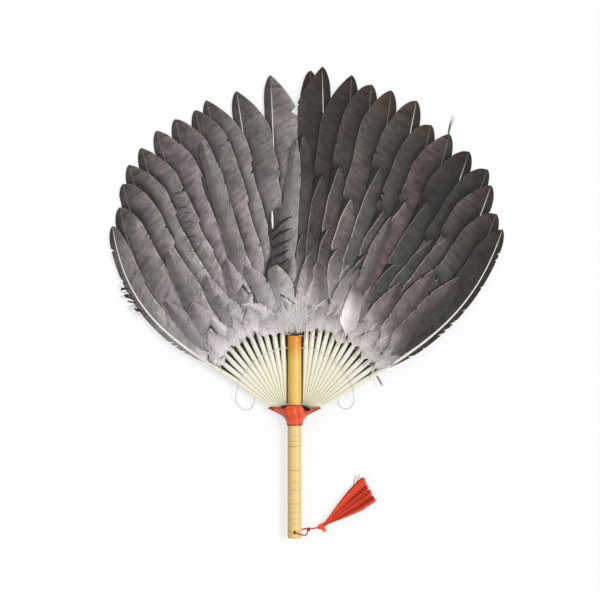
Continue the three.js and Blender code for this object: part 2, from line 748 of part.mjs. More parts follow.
// Rings of the collar, pulled in by an inset: round at the bottom, flattened to two pointed horns
// at the mouth, with the rim raised over the rod at front and back.
function collarRings(inset) {
  return COLLAR_HEIGHT_SHARES.map((share, level) => {
    const flare = COLLAR_FLARE_SHARES[level];
    const halfWidth = mix(COLLAR_RING_RADIUS, COLLAR_HORN_REACH, flare) - inset;
    const halfDepth = mix(COLLAR_RING_RADIUS, COLLAR_HALF_DEPTH, share) - inset;
    const power = mix(1, COLLAR_HORN_POWER, flare);
    const rise = COLLAR_FRONT_RISE * share * share;
    const ring = [];
    for (let i = 0; i < COLLAR_SIDES; i++) {
      const turn = (2 * Math.PI * i) / COLLAR_SIDES;
      const sine = Math.sin(turn);
      const depth = Math.sign(sine) * Math.abs(sine) ** power;
      const y = mix(COLLAR_BOTTOM_Y, COLLAR_HORN_Y, share) + rise * Math.abs(sine);
      const rim = y - frontDip(turn) * share * share;
      ring.push(new THREE.Vector3(halfWidth * Math.cos(turn), rim, halfDepth * depth));
    }
    return ring;
  });
}

function collar() {
  return openShell(collarRings(0), collarRings(COLLAR_WALL));
}

// The bead of glue on one side of the rod, between the quill roots and the collar's lower wall.
function rootGlue(half) {
  const lastRoot = half.place(ROOT_START, half.quillAngle(half.count - 1));
  const top = lastRoot.y - half.quillRadius(half.count - 1, ROOT_START) - SEAT_GAP;
  const cavity = toSolid(loft(collarRings(COLLAR_WALL + SEAT_GAP)));
  const rodRoom = new THREE.CylinderGeometry(
    GRIP_RADIUS + SEAT_GAP,
    GRIP_RADIUS + SEAT_GAP,
    ROD_TOP_Y - BUTT_Y,
    ROD_SIDES,
  );
  const span = COLLAR_HORN_REACH;
  const block = new THREE.BoxGeometry(span, GLUE_HEIGHT, 2 * COLLAR_RING_RADIUS);
  block.translate(half.side * (GRIP_RADIUS + span / 2), top - GLUE_HEIGHT / 2, 0);
  return fromSolid(cavity.intersect(toSolid(block)).subtract(toSolid(rodRoom)));
}

function cordKnot(cordCurve) {
  const ball = new THREE.SphereGeometry(CORD_KNOT_RADIUS, ...CORD_KNOT_FACETS);
  ball.translate(...CORD_KNOT_CENTRE);
  const room = tubeAlong(cordCurve, CORD_RADIUS + SEAT_GAP, CORD_STEPS, CORD_SIDES);
  return fromSolid(toSolid(ball).subtract(toSolid(room)));
}

function tasselKnot() {
  const ball = new THREE.SphereGeometry(TASSEL_KNOT_RADIUS, ...TASSEL_KNOT_FACETS);
  ball.scale(1, TASSEL_KNOT_SQUASH_SHARE, 1);
  ball.rotateZ(radians(SKIRT_TURN));
  const tail = new THREE.CylinderGeometry(
    TASSEL_TAIL_RADIUS,
    TASSEL_TAIL_RADIUS / 2,
    TASSEL_TAIL_LENGTH,
    CORD_SIDES,
  );
  tail.translate(0, -TASSEL_TAIL_LENGTH / 2, 0);
  tail.rotateZ(radians(TASSEL_TAIL_TURN + 90));
  const knot = fromSolid(toSolid(ball).add(toSolid(tail)));
  return knot.translate(...TASSEL_KNOT_CENTRE);
}

// The tassel's strands as one fluted skirt, round at the neck and spread flat on the floor.
function tasselSkirt() {
  const turn = radians(SKIRT_TURN);
  const along = new THREE.Vector3(Math.cos(turn), Math.sin(turn), 0);
  const across = new THREE.Vector3(-Math.sin(turn), Math.cos(turn), 0);
  const start = new THREE.Vector3(...TASSEL_KNOT_CENTRE);
  start.addScaledVector(along, TASSEL_KNOT_RADIUS + SEAT_GAP);
  const rings = SKIRT_LENGTH_SHARES.map((share, level) => {
    const width = mix(SKIRT_NECK_RADIUS, SKIRT_HALF_WIDTH, SKIRT_WIDTH_SHARES[level]);
    const depth = mix(SKIRT_NECK_RADIUS, SKIRT_HALF_DEPTH, SKIRT_WIDTH_SHARES[level]);
    const rest = Math.min(share / SKIRT_LENGTH_SHARES[2], 1);
    const height = mix(TASSEL_KNOT_CENTRE[2], FLOOR_Z + depth, rest);
    const ring = [];
    for (let i = 0; i < 2 * SKIRT_FLUTES; i++) {
      const angle = (Math.PI * i) / SKIRT_FLUTES;
      const reach = 1 - (i % 2) * SKIRT_FLUTE_SHARE * Math.min(rest, 1);
      const side = Math.cos(angle) * reach;
      const distance = SKIRT_LENGTH * share + SKIRT_SLANT * side * share;
      const point = start.clone().addScaledVector(along, distance);
      point.addScaledVector(across, width * side);
      point.z = height + depth * Math.sin(angle) * reach;
      ring.push(point);
    }
    return ring;
  });
  return loft(rings);
}

// The finished fan
const left = new FanHalf(LEFT_HALF);
const right = new FanHalf(RIGHT_HALF);
const halves = [left, right];
const threadRoom = threadTube(left, right, THREAD_HOLE_RADIUS, CUT_OVERRUN);
const threadHole = toSolid(threadRoom);
const cordCurve = routeCurve(CORD_ROUTE);

addPiece("bamboo_handle", bambooRod(threadHole), FINISHES.bamboo);
addPiece("flared_collar", collar(), FINISHES.collar);

for (const half of halves) {
  const finish = half === left ? FINISHES.leftFeather : FINISHES.rightFeather;
  addPiece(`${half.name}_root_glue`, rootGlue(half), FINISHES.glue);
  for (let k = 0; k < half.count; k++) {
    const number = String(k + 1).padStart(2, "0");
    const feather = toSolid(flightFeather(half, k)).subtract(threadHole);
    addPiece(`${half.name}_feather_${number}`, fromSolid(feather), finish);
  }
  const covers = half === left ? LEFT_COVERS : RIGHT_COVERS;
  covers.forEach((cover, index) => {
    addPiece(
      `${half.name}_cover_${index + 1}`,
      coverFeather(halves, half, covers, index),
      FINISHES.cover,
    );
  });
}

addPiece("back_lining", backLining(left, right), FINISHES.lining);

const spreader = threadTube(left, right, THREAD_RADIUS, 0);
addPiece("spreader_thread", spreader, FINISHES.thread);
const leftLoop = tubeAlong(routeCurve(LEFT_LOOP_ROUTE), LOOP_RADIUS, LOOP_STEPS, CORD_SIDES);
const rightLoop = tubeAlong(routeCurve(RIGHT_LOOP_ROUTE), LOOP_RADIUS, LOOP_STEPS, CORD_SIDES);
addPiece("left_thread_loop", leftLoop, FINISHES.thread, true);
addPiece("right_thread_loop", rightLoop, FINISHES.thread, true);

const tasselCord = tubeAlong(cordCurve, CORD_RADIUS, CORD_STEPS, CORD_SIDES);
addPiece("tassel_cord", tasselCord, FINISHES.tassel, true);
addPiece("cord_knot", cordKnot(cordCurve), FINISHES.tassel, true);
addPiece("tassel_knot", tasselKnot(), FINISHES.tassel, true);
addPiece("tassel_skirt", tasselSkirt(), FINISHES.tassel, true);

// Moves the fan so that the origin is at the middle of its base.
const fanBox = new THREE.Box3();
for (const mesh of fanGroup.children) {
  if (!freeNodes.includes(mesh.name)) fanBox.expandByObject(mesh);
}
const middle = fanBox.getCenter(new THREE.Vector3());
fanGroup.position.set(-middle.x, -middle.y, -fanBox.min.z);

export default fanGroup;
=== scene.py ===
"""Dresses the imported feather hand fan: feathers, bamboo rod, collar, threads and tassel.

Lengths in this file are millimetres in the fan's working frame, whose origin is the middle of the
thread's arc on the rod's axis. MeshWriter moves them into the row frame, in metres.
"""
import logging
import math
from dataclasses import dataclass, field, replace
from enum import Enum
from typing import Callable, Sequence

import bpy
import numpy as np
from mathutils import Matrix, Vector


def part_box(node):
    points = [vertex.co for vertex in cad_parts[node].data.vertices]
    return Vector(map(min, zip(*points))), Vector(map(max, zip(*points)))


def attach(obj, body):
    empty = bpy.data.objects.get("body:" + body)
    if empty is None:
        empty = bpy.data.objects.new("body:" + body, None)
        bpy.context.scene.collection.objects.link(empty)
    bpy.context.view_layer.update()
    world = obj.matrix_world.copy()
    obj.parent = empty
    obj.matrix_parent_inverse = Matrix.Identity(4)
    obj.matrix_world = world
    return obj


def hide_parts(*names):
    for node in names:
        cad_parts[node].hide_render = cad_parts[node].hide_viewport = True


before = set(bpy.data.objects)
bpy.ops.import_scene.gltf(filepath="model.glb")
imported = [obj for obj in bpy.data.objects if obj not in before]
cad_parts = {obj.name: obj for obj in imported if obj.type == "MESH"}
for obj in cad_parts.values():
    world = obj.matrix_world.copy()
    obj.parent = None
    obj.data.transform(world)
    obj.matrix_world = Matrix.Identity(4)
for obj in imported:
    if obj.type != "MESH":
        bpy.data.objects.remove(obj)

log = logging.getLogger("feather_fan")
Array = np.ndarray
Colour = tuple[float, float, float, float]
Socket = bpy.types.NodeSocket
HeightOf = Callable[[Array], Array]

MM = 0.001
ROD_RADIUS = 6.6
BUTT_Y = -125.1
ROD_TOP_Y = 69.3
COLLAR_BOTTOM_Y = -16.7
FLOOR_Z = -8.7


# Small maths on whole arrays


def clamp01(values: Array) -> Array:
    """Limits values to the range 0 to 1."""
    return np.clip(values, 0.0, 1.0)


def smooth(low: float, high: float, values: Array) -> Array:
    """Smooth step from 0 at low to 1 at high: 3x^2 - 2x^3 of the clamped share x."""
    x = clamp01((values - low) / (high - low))
    return x * x * (3 - 2 * x)


def mix(a: Array, b: Array, share: Array) -> Array:
    """Straight blend from a to b."""
    return a + (b - a) * share


def ogive(left: Array, fullness: float, power: float) -> Array:
    """Share of the full width at a rounded tip: (1 - (1 - u)^fullness)^power of the clamped share
    u that is left to the tip."""
    return (1 - (1 - clamp01(left)) ** fullness) ** power


def bell(values: Array, width: float) -> Array:
    """A bump of height 1 at 0: exp(-(x / width)^2)."""
    return np.exp(-((values / width) ** 2))


def stack(*parts: Array) -> Array:
    """Numbers or arrays, spread to their common shape, side by side along a new last axis."""
    return np.stack(np.broadcast_arrays(*parts), axis=-1)


def forwards(angle: Array) -> Array:
    """Unit vectors at an angle from the Y axis, with x positive outwards."""
    return stack(np.sin(angle), np.cos(angle))


def outwards(angle: Array) -> Array:
    """Unit vectors square to an angle from the Y axis, on its outer side."""
    return stack(np.cos(angle), -np.sin(angle))


def ring_turns(sides: int) -> Array:
    """The turns of the points round a ring, in radians."""
    return 2 * np.pi * np.arange(sides) / sides


def unit(vectors: Array) -> Array:
    """Vectors along the last axis, scaled to length one."""
    return vectors / np.maximum(np.linalg.norm(vectors, axis=-1, keepdims=True), 1e-12)


def step_lengths(line: Array) -> Array:
    """Distances between neighbouring points of a line."""
    return np.linalg.norm(np.diff(line, axis=0), axis=1)


def run_of(steps: Array) -> Array:
    """The sum of the steps up to each point, from 0 at the first."""
    return np.concatenate([[0], np.cumsum(steps)])


def catmull(route: Sequence[Sequence[float]], count: int, fine: int = 24) -> Array:
    """A smooth line through the points of a route, spaced evenly.

    A Catmull-Rom cubic with centripetal knots is worked out between each pair of points by
    blending neighbours over three levels, then resampled at even steps of its length.

    Args:
        route: the route's points, one row each.
        count: how many points the line gets.
        fine: how many points each cubic is worked out at.

    Returns:
        The line's points, count rows.
    """
    points = np.array(route, float)
    ends = np.vstack([2 * points[0] - points[1], points, 2 * points[-1] - points[-2]])
    knots = run_of(step_lengths(ends) ** 0.5)
    levels = (((0, 1), (1, 2), (2, 3)), ((0, 2), (1, 3)), ((1, 2),))
    cubics = []
    for i in range(len(ends) - 3):
        t = np.linspace(knots[i + 1], knots[i + 2], fine, endpoint=False)[:, None]
        row = list(ends[i : i + 4])
        for level in levels:
            spans = [(knots[i + low], knots[i + high]) for low, high in level]
            row = [
                (high - t) / (high - low) * a + (t - low) / (high - low) * b
                for (low, high), a, b in zip(spans, row, row[1:])
            ]
        cubics.append(row[0])
    line = np.vstack(cubics + [points[-1:]])
    run = run_of(step_lengths(line))
    even = np.linspace(0, run[-1], count)
    return np.stack([np.interp(even, run, line[:, axis]) for axis in range(3)], axis=1)


# Meshes


@dataclass
class Surface:
    """A closed surface: points, faces as arrays of point numbers, and values kept per point."""

    points: Array
    faces: list[Array]
    values: dict[str, Array] = field(default_factory=dict)
    uv: Array | None = None
    material: int = 0

    def volume(self) -> float:
        """Signed volume over the origin, the sum of each face's fan of tetrahedra."""
        total = 0.0
        for block in self.faces:
            a = self.points[block[:, 0]]
            for i in range(1, block.shape[1] - 1):
                b, c = self.points[block[:, i]], self.points[block[:, i + 1]]
                total += float(np.einsum("ij,ij->", a, np.cross(b, c)))
        return total

    def outward(self) -> "Surface":
        """The same surface with its faces pointing out."""
        if self.volume() < 0:
            self.faces = [block[:, ::-1] for block in self.faces]
        return self


def ring_grid(rings: int, sides: int) -> Array:
    """Quads of a tube of rings times sides points, each ring closed on itself."""
    i, j = np.meshgrid(np.arange(rings - 1), np.arange(sides), indexing="ij")
    k = (j + 1) % sides
    quads = np.stack([i * sides + j, i * sides + k, (i + 1) * sides + k, (i + 1) * sides + j], axis=-1)
    return quads.reshape(-1, 4)


def end_caps(rings: int, sides: int) -> Array:
    """The two faces that close such a tube at its first and its last ring."""
    ring = np.arange(sides)
    return np.stack([ring[::-1], ring + (rings - 1) * sides])


def closed(points: Array) -> Surface:
    """A closed surface from points by ring and turn, with a flat face at each end."""
    rings, sides = points.shape[:2]
    return Surface(points.reshape(-1, 3), [ring_grid(rings, sides), end_caps(rings, sides)]).outward()


def tubes(
    lines: Array, radii: Array, sides: int, up: Sequence[float] = (0, 0, 1), material: int = 0, **values: Array
) -> Surface:
    """Round tubes along many lines at once.

    Point (m, i, j) is line m's point i plus its radius times the cosine of turn j on the side
    vector and its sine on the up vector. Each end is closed by one flat face.

    Args:
        lines: lines by points by three.
        radii: radii that spread to lines by points.
        sides: points around.
        up: the direction that frames each section.
        material: the number of the tubes' material in their piece.
        values: values by name that spread to lines by points.

    Returns:
        One surface of all the tubes, with the values and a uv of run and turn.
    """
    many, count = lines.shape[:2]
    along = unit(np.gradient(lines, axis=-2))
    side = unit(np.cross(along, np.broadcast_to(np.asarray(up, float), along.shape)))
    over = unit(np.cross(side, along))
    turn = ring_turns(sides)
    ring = np.cos(turn)[:, None] * side[:, :, None, :] + np.sin(turn)[:, None] * over[:, :, None, :]
    points = lines[:, :, None, :] + np.broadcast_to(radii, (many, count))[:, :, None, None] * ring
    starts = np.arange(many) * count * sides
    quads = (ring_grid(count, sides)[None] + starts[:, None, None]).reshape(-1, 4)
    caps = (end_caps(count, sides)[:, None] + starts[:, None]).reshape(-1, sides)
    uv = np.broadcast_to(stack(np.linspace(0, 1, count)[:, None], np.arange(sides) / sides), (many, count, sides, 2))
    kept = {key: np.repeat(np.broadcast_to(v, (many, count)).ravel(), sides) for key, v in values.items()}
    return Surface(points.reshape(-1, 3), [quads, caps], kept, uv.reshape(-1, 2).copy(), material).outward()


def shell(top: Array, bottom: Array) -> Surface:
    """A closed sheet between two grids of rows by columns that meet at their rims."""
    rows, cols = top.shape[:2]
    ring = np.concatenate([top, bottom[:, ::-1]], axis=1)
    sides = 2 * cols
    j = np.arange(cols - 1)
    cap = np.stack([j, j + 1, sides - 2 - j, sides - 1 - j], axis=-1)
    faces = np.concatenate([ring_grid(rows, sides), cap[:, ::-1], cap + (rows - 1) * sides])
    return Surface(ring.reshape(-1, 3), [faces])


def both_faces(grid: Array) -> Array:
    """Values of a sheet's grid for the ring order that shell uses, as one flat array."""
    return np.concatenate([grid, grid[:, ::-1]], axis=1).reshape(-1, *grid.shape[2:])


def vane_values(
    tone: Array, light: Array, pale: Array, rim_highlight: Array, shade: Array = 0.0, tip: Array = 0.0
) -> dict[str, Array]:
    """The values that a vane's finish reads, for both faces of its sheet.

    Args:
        tone: 0 for the finish's cool colour, 1 for the warm one.
        light: brightness.
        pale: share of the quill end's pale colour.
        rim_highlight: share of the edge's highlight colour, a painted highlight.
        shade: share of the shadow's colour.
        tip: share of the tip's colour.

    Returns:
        The "dress" and "cast" colour attributes; the last two numbers of "cast" are filling.
    """
    tone, light, pale, rim_highlight, shade, tip = np.broadcast_arrays(tone, light, pale, rim_highlight, shade, tip)
    return {"dress": both_faces(stack(tone, light, pale, rim_highlight)), "cast": both_faces(stack(shade, tip, 0.0, 1.0))}


class MeshWriter:
    """Puts surfaces into meshes in the row frame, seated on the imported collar."""

    def __init__(self) -> None:
        """Finds the working origin from the collar: its middle across, its foot and its mid height."""
        low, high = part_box("flared_collar")
        self.origin = np.array(
            [(low[0] + high[0]) / 2, low[1] - COLLAR_BOTTOM_Y * MM, (low[2] + high[2]) / 2]
        )

    def place(self, points: Array) -> Array:
        """Working millimetres to row metres."""
        return np.asarray(points, float) * MM + self.origin

    def write(
        self,
        name: str,
        surfaces: Sequence[Surface],
        materials: Sequence[bpy.types.Material],
        slot: str,
        body: str,
        nodes: Sequence[str] = (),
    ) -> bpy.types.Object:
        """Joins surfaces into one object that rides on a body and stands for CAD nodes.

        Args:
            name: the piece's name.
            surfaces: what it is made of; each names its material by number.
            materials: the object's materials in order.
            slot: the record's material slot; not used.
            body: the CAD body that carries it.
            nodes: the CAD nodes that it replaces.

        Returns:
            The new object.
        """
        starts = run_of([len(s.points) for s in surfaces])[:-1].astype(int)
        points = self.place(np.concatenate([s.points for s in surfaces]))
        blocks = [(f + a, s.material) for s, a in zip(surfaces, starts) for f in s.faces]
        loops = np.concatenate([b.ravel() for b, _ in blocks]).astype(np.int32)
        totals = np.concatenate([np.full(len(b), b.shape[1]) for b, _ in blocks])
        mesh = bpy.data.meshes.new(name)
        mesh.vertices.add(len(points))
        mesh.vertices.foreach_set("co", points.astype(np.float32).ravel())
        mesh.loops.add(len(loops))
        mesh.loops.foreach_set("vertex_index", loops)
        mesh.polygons.add(len(totals))
        mesh.polygons.foreach_set("loop_start", run_of(totals)[:-1].astype(np.int32))
        slots = np.concatenate([np.full(len(b), m) for b, m in blocks]).astype(np.int32)
        mesh.polygons.foreach_set("material_index", slots)
        mesh.polygons.foreach_set("use_smooth", np.ones(len(totals), bool))
        mesh.update(calc_edges=True)
        for key in sorted({k for s in surfaces for k in s.values}):
            self._keep_values(mesh, key, surfaces)
        if any(s.uv is not None for s in surfaces):
            uv = np.concatenate([np.zeros((len(s.points), 2)) if s.uv is None else s.uv for s in surfaces])
            layer = mesh.uv_layers.new(name="lay")
            layer.data.foreach_set("uv", uv[loops].astype(np.float32).ravel())
        for material in materials:
            mesh.materials.append(material)
        mesh.validate()
        piece = bpy.data.objects.new(name, mesh)
        bpy.context.scene.collection.objects.link(piece)
        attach(piece, body)
        if nodes:
            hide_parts(*nodes)
        log.info("%s: %d points on %s", name, len(points), body)
        return piece

    @staticmethod
    def _keep_values(mesh: bpy.types.Mesh, key: str, surfaces: Sequence[Surface]) -> None:
        """Stores one named value per point, a number or four, as a point attribute."""
        shown = [s.values.get(key) for s in surfaces]
        wide = any(v is not None and v.ndim == 2 for v in shown)
        blank = [np.zeros((len(s.points), 4) if wide else len(s.points)) for s in surfaces]
        values = np.concatenate([b if v is None else v for v, b in zip(shown, blank)])
        if wide:
            layer = mesh.color_attributes.new(name=key, type="FLOAT_COLOR", domain="POINT")
            layer.data.foreach_set("color", values.astype(np.float32).ravel())
        else:
            layer = mesh.attributes.new(name=key, type="FLOAT", domain="POINT")
            layer.data.foreach_set("value", values.astype(np.float32))


# Materials


def srgb(red: int, green: int, blue: int) -> Colour:
    """A colour given in 0 to 255 display values, as the linear colour that a shader wants."""
    shares = np.array([red, green, blue]) / 255
    linear = np.where(shares <= 0.04045, shares / 12.92, ((shares + 0.055) / 1.055) ** 2.4)
    return (float(linear[0]), float(linear[1]), float(linear[2]), 1.0)


class Nodes:
    """Adds and links shader nodes in one tree. An input is a value or another node's output."""

    def __init__(self, tree: bpy.types.NodeTree) -> None:
        """Keeps the tree."""
        self.tree = tree

    @classmethod
    def of(cls, owner: bpy.types.Material | bpy.types.World) -> "Nodes":
        """A kit for the emptied tree of a material or a world."""
        owner.use_nodes = True
        owner.node_tree.nodes.clear()
        return cls(owner.node_tree)

    def add(self, kind: str, inputs: dict | None = None, **settings: object) -> bpy.types.Node:
        """Adds a node, sets its settings, then sets or links its inputs by name or number."""
        node = self.tree.nodes.new(kind)
        for key, value in settings.items():
            setattr(node, key, value)
        for key, value in (inputs or {}).items():
            if isinstance(value, Socket):
                self.tree.links.new(value, node.inputs[key])
            else:
                node.inputs[key].default_value = value
        return node

    def group(self, tree: bpy.types.NodeTree, **inputs: float) -> bpy.types.bpy_prop_collection:
        """The outputs of a node group with some of its inputs set."""
        return self.add("ShaderNodeGroup", inputs, node_tree=tree).outputs

    def math(self, operation: str, a: object, b: object, clamp: bool = False) -> Socket:
        """A Math node's result of two inputs."""
        return self.add("ShaderNodeMath", {0: a, 1: b}, operation=operation, use_clamp=clamp).outputs[0]

    def plus(self, a: object, b: object, clamp: bool = False) -> Socket:
        """The sum of two inputs."""
        return self.math("ADD", a, b, clamp)

    def times(self, a: object, b: object, more: float | None = None) -> Socket:
        """The product of two inputs, with a number added to it if one is given."""
        if more is None:
            return self.math("MULTIPLY", a, b)
        return self.add("ShaderNodeMath", {0: a, 1: b, 2: more}, operation="MULTIPLY_ADD").outputs[0]

    def wave(self, turns: object) -> Socket:
        """A sine of the turns, from 0 to 1."""
        return self.times(self.math("SINE", self.times(turns, 2 * math.pi), 0.0), 0.5, 0.5)

    def blend(self, share: object, a: object, b: object, how: str = "MIX") -> Socket:
        """A colour mix of a and b by a share."""
        inputs = {0: share, 6: a, 7: b}
        return self.add("ShaderNodeMix", inputs, data_type="RGBA", blend_type=how).outputs[2]

    def span(self, value: object, low: float, high: float, start: float, end: float) -> Socket:
        """A value taken from the range low to high to the range start to end, and held there."""
        return self.add("ShaderNodeMapRange", {0: value, 1: low, 2: high, 3: start, 4: end}).outputs[0]

    def place(self) -> Socket:
        """The place in Object coordinates."""
        return self.add("ShaderNodeTexCoord").outputs["Object"]

    def parts(self, vector: Socket) -> bpy.types.bpy_prop_collection:
        """The three numbers of a vector."""
        return self.add("ShaderNodeSeparateXYZ", {0: vector}).outputs

    def lay(self) -> bpy.types.bpy_prop_collection:
        """The numbers of the piece's uv."""
        return self.parts(self.add("ShaderNodeUVMap", uv_map="lay").outputs[0])

    def vector(self, x: object, y: object, z: object = 0.0) -> Socket:
        """A vector of three numbers."""
        return self.add("ShaderNodeCombineXYZ", {0: x, 1: y, 2: z}).outputs[0]

    def noise(self, vector: Socket, scale: float, detail: float, rough: float = 0.5) -> Socket:
        """A noise at a vector, 0 to 1."""
        inputs = {"Vector": vector, "Scale": scale, "Detail": detail, "Roughness": rough}
        return self.add("ShaderNodeTexNoise", inputs).outputs[0]

    def bump(self, height: Socket, strength: float, distance: float) -> Socket:
        """A normal bent by a height, over a distance in metres."""
        return self.add("ShaderNodeBump", {"Height": height, "Strength": strength, "Distance": distance}).outputs[0]

    def seen(self) -> Socket:
        """1 for camera, glossy and transmission rays, 0 for the rays that only light things."""
        path = self.add("ShaderNodeLightPath").outputs
        bent = self.math("MAXIMUM", path["Is Glossy Ray"], path["Is Transmission Ray"])
        return self.math("MAXIMUM", path["Is Camera Ray"], bent)

    def split(self, attribute: str) -> tuple[Socket, ...]:
        """The red, green, blue and alpha shares of a colour attribute."""
        source = self.add("ShaderNodeAttribute", attribute_name=attribute)
        parts = self.add("ShaderNodeSeparateColor", {0: source.outputs["Color"]})
        return (*parts.outputs[:3], source.outputs["Alpha"])

    def value(self, attribute: str) -> Socket:
        """A number attribute."""
        return self.add("ShaderNodeAttribute", attribute_name=attribute).outputs["Fac"]


def new_group(name: str, inputs: dict[str, float], outputs: Sequence[str]) -> tuple[Nodes, dict[str, Socket]]:
    """An empty shader group with float sockets.

    Args:
        name: the group's name.
        inputs: its inputs' default values by name.
        outputs: its outputs' names.

    Returns:
        A kit for its tree, and its inputs' sockets by name.
    """
    tree = bpy.data.node_groups.new(name, "ShaderNodeTree")
    for key, value in inputs.items():
        socket = tree.interface.new_socket(key, in_out="INPUT", socket_type="NodeSocketFloat")
        socket.default_value = value
    for key in outputs:
        tree.interface.new_socket(key, in_out="OUTPUT", socket_type="NodeSocketFloat")
    kit = Nodes(tree)
    return kit, kit.add("NodeGroupInput").outputs


def barb_group() -> bpy.types.NodeTree:
    """Fine barbs of a vane from its uv, whose first number is the run of the barbs' roots.

    Streak is a noise drawn out along the barbs, Height is a wave across them with the streak
    added, and Split is 1 in the thin gaps between barbs that have come apart.
    """
    inputs = {"Barbs": 90.0, "Streaks": 26.0, "Wobble": 0.4, "Gaps": 64.0}
    kit, given = new_group("barb lines", inputs, ("Streak", "Height", "Split"))
    run, across = kit.lay()[:2]
    streak = kit.noise(kit.vector(kit.times(run, given["Streaks"]), kit.times(across, 1.3)), 1.0, 4.0)
    ridge = kit.wave(kit.plus(kit.times(run, given["Barbs"]), kit.times(streak, given["Wobble"])))
    height = kit.plus(kit.times(ridge, 0.5), kit.times(streak, 0.5))
    gaps = kit.noise(kit.vector(kit.times(run, given["Gaps"]), kit.times(across, 2.2), 7.0), 1.0, 2.0)
    kit.add("NodeGroupOutput", {"Streak": streak, "Height": height, "Split": kit.span(gaps, 0.31, 0.37, 1.0, 0.0)})
    return kit.tree


def grain_group() -> bpy.types.NodeTree:
    """Long grain along Y and faint mottling in Object coordinates, both 0 to 1."""
    kit, given = new_group("long grain", {"Across": 900.0, "Along": 18.0}, ("Grain", "Mottle"))
    place = kit.place()
    x, y, z = kit.parts(place)
    drawn = kit.vector(kit.times(x, given["Across"]), kit.times(y, given["Along"]), kit.times(z, given["Across"]))
    kit.add("NodeGroupOutput", {"Grain": kit.noise(drawn, 1.0, 5.0), "Mottle": kit.noise(place, 160.0, 3.0)})
    return kit.tree


@dataclass(frozen=True)
class Finish:
    """What every finish has: a name and a roughness. Each kind gives its Principled inputs."""

    name: str
    roughness: float

    def build(self, group: bpy.types.NodeTree | None = None) -> bpy.types.Material:
        """Builds the material: the Principled BSDF with the finish's inputs, linked to the output.

        Args:
            group: the node group that the finish uses, if any.

        Returns:
            The new material.
        """
        material = bpy.data.materials.new(self.name)
        kit = Nodes.of(material)
        inputs = {"Roughness": self.roughness, **self.inputs(kit, group)}
        shader = kit.add("ShaderNodeBsdfPrincipled", inputs)
        kit.add("ShaderNodeOutputMaterial", {"Surface": shader.outputs[0]})
        return material

    def inputs(self, kit: Nodes, group: bpy.types.NodeTree | None) -> dict[str, object]:
        raise NotImplementedError


@dataclass(frozen=True)
class VaneFinish(Finish):
    """A feather's vane: two greys by tone, paling to the quill, browned at the tip, with barbs, a painted highlight
    line at its broad edge and painted shadow where other feathers lie over it.

    Contrast scales what varies its brightness: streaks along the barbs, clouds and dark gaps.
    Wander is how far the tone strays from place to place.
    """

    cool: Colour
    warm: Colour
    pale: Colour
    tip: Colour
    rim_highlight: Colour
    shadow: Colour
    contrast: float = 0.8
    wander: float = 1.6
    streaks: float = 0.34
    clouds: float = 0.36
    gaps: float = 0.45

    def inputs(self, kit: Nodes, group: bpy.types.NodeTree | None) -> dict[str, object]:
        """Reads the "dress" and "cast" attributes and the barb group."""
        tone, light, pale, rim_highlight = kit.split("dress")
        shade, tip = kit.split("cast")[:2]
        barbs = kit.group(group)
        place = kit.place()
        wander = kit.times(kit.math("SUBTRACT", kit.noise(place, 55.0, 3.0), 0.5), self.wander)
        turned = kit.plus(tone, wander, True)
        colour = kit.blend(turned, self.cool, self.warm)
        # The highlight colour at the edge is painted light, and the shadow colour blended in below is painted shade.
        for share, other in ((tip, self.tip), (pale, self.pale), (rim_highlight, self.rim_highlight)):
            colour = kit.blend(share, colour, other)
        calm = kit.span(pale, 0.0, 0.8, self.contrast, 0.3 * self.contrast)
        streak = kit.span(barbs["Streak"], 0.3, 0.7, -self.streaks, self.streaks)
        cloud = kit.span(kit.noise(place, 110.0, 4.0, 0.6), 0.32, 0.68, -self.clouds, self.clouds)
        change = kit.times(kit.plus(kit.plus(streak, cloud), kit.times(barbs["Split"], -self.gaps)), calm)
        lit = kit.times(light, kit.plus(change, 1.0))
        white = kit.add("ShaderNodeCombineColor", {0: lit, 1: lit, 2: lit}).outputs[0]
        colour = kit.blend(shade, kit.blend(1.0, colour, white, "MULTIPLY"), self.shadow)
        return {"Base Color": colour, "Specular IOR Level": 0.25, "Normal": kit.bump(barbs["Height"], 0.4, 0.0003)}


@dataclass(frozen=True)
class ShaftFinish(Finish):
    """A quill and shaft: waxy ivory at the root, whiter along the vane, horn-brown at the tip."""

    root: Colour
    middle: Colour
    tip: Colour

    def inputs(self, kit: Nodes, group: bpy.types.NodeTree | None) -> dict[str, object]:
        """Reads the "run" attribute, 0 at the root and 1 at the tip, and the grain group."""
        grain = kit.group(group, Across=1500.0, Along=40.0)["Grain"]
        ramp = kit.add("ShaderNodeValToRGB", {0: kit.value("run")})
        stops = ramp.color_ramp.elements
        stops[0].color, stops[0].position = self.root, 0.1
        stops[1].color, stops[1].position = self.tip, 0.84
        for position in (0.34, 0.78):
            stops.new(position).color = self.middle
        colour = kit.blend(kit.times(grain, 0.3), ramp.outputs[0], (0.55, 0.5, 0.34, 1.0))
        bump = kit.bump(grain, 0.2, 0.0002)
        return {"Base Color": colour, "Coat Weight": 0.25, "Coat Roughness": 0.25, "Normal": bump}


@dataclass(frozen=True)
class DownFinish(Finish):
    """Loose down, or the dark sheet of painted shade behind the quills: two colours blended by the
    tone, with faint specks.
    """

    first: Colour
    second: Colour

    def inputs(self, kit: Nodes, group: bpy.types.NodeTree | None) -> dict[str, object]:
        """Reads the "tone" attribute."""
        colour = kit.blend(kit.value("tone"), self.first, self.second)
        specks = kit.times(kit.noise(kit.place(), 400.0, 2.0), 0.08)
        return {"Base Color": kit.blend(specks, colour, (0.2, 0.18, 0.18, 1.0)), "Specular IOR Level": 0.2}


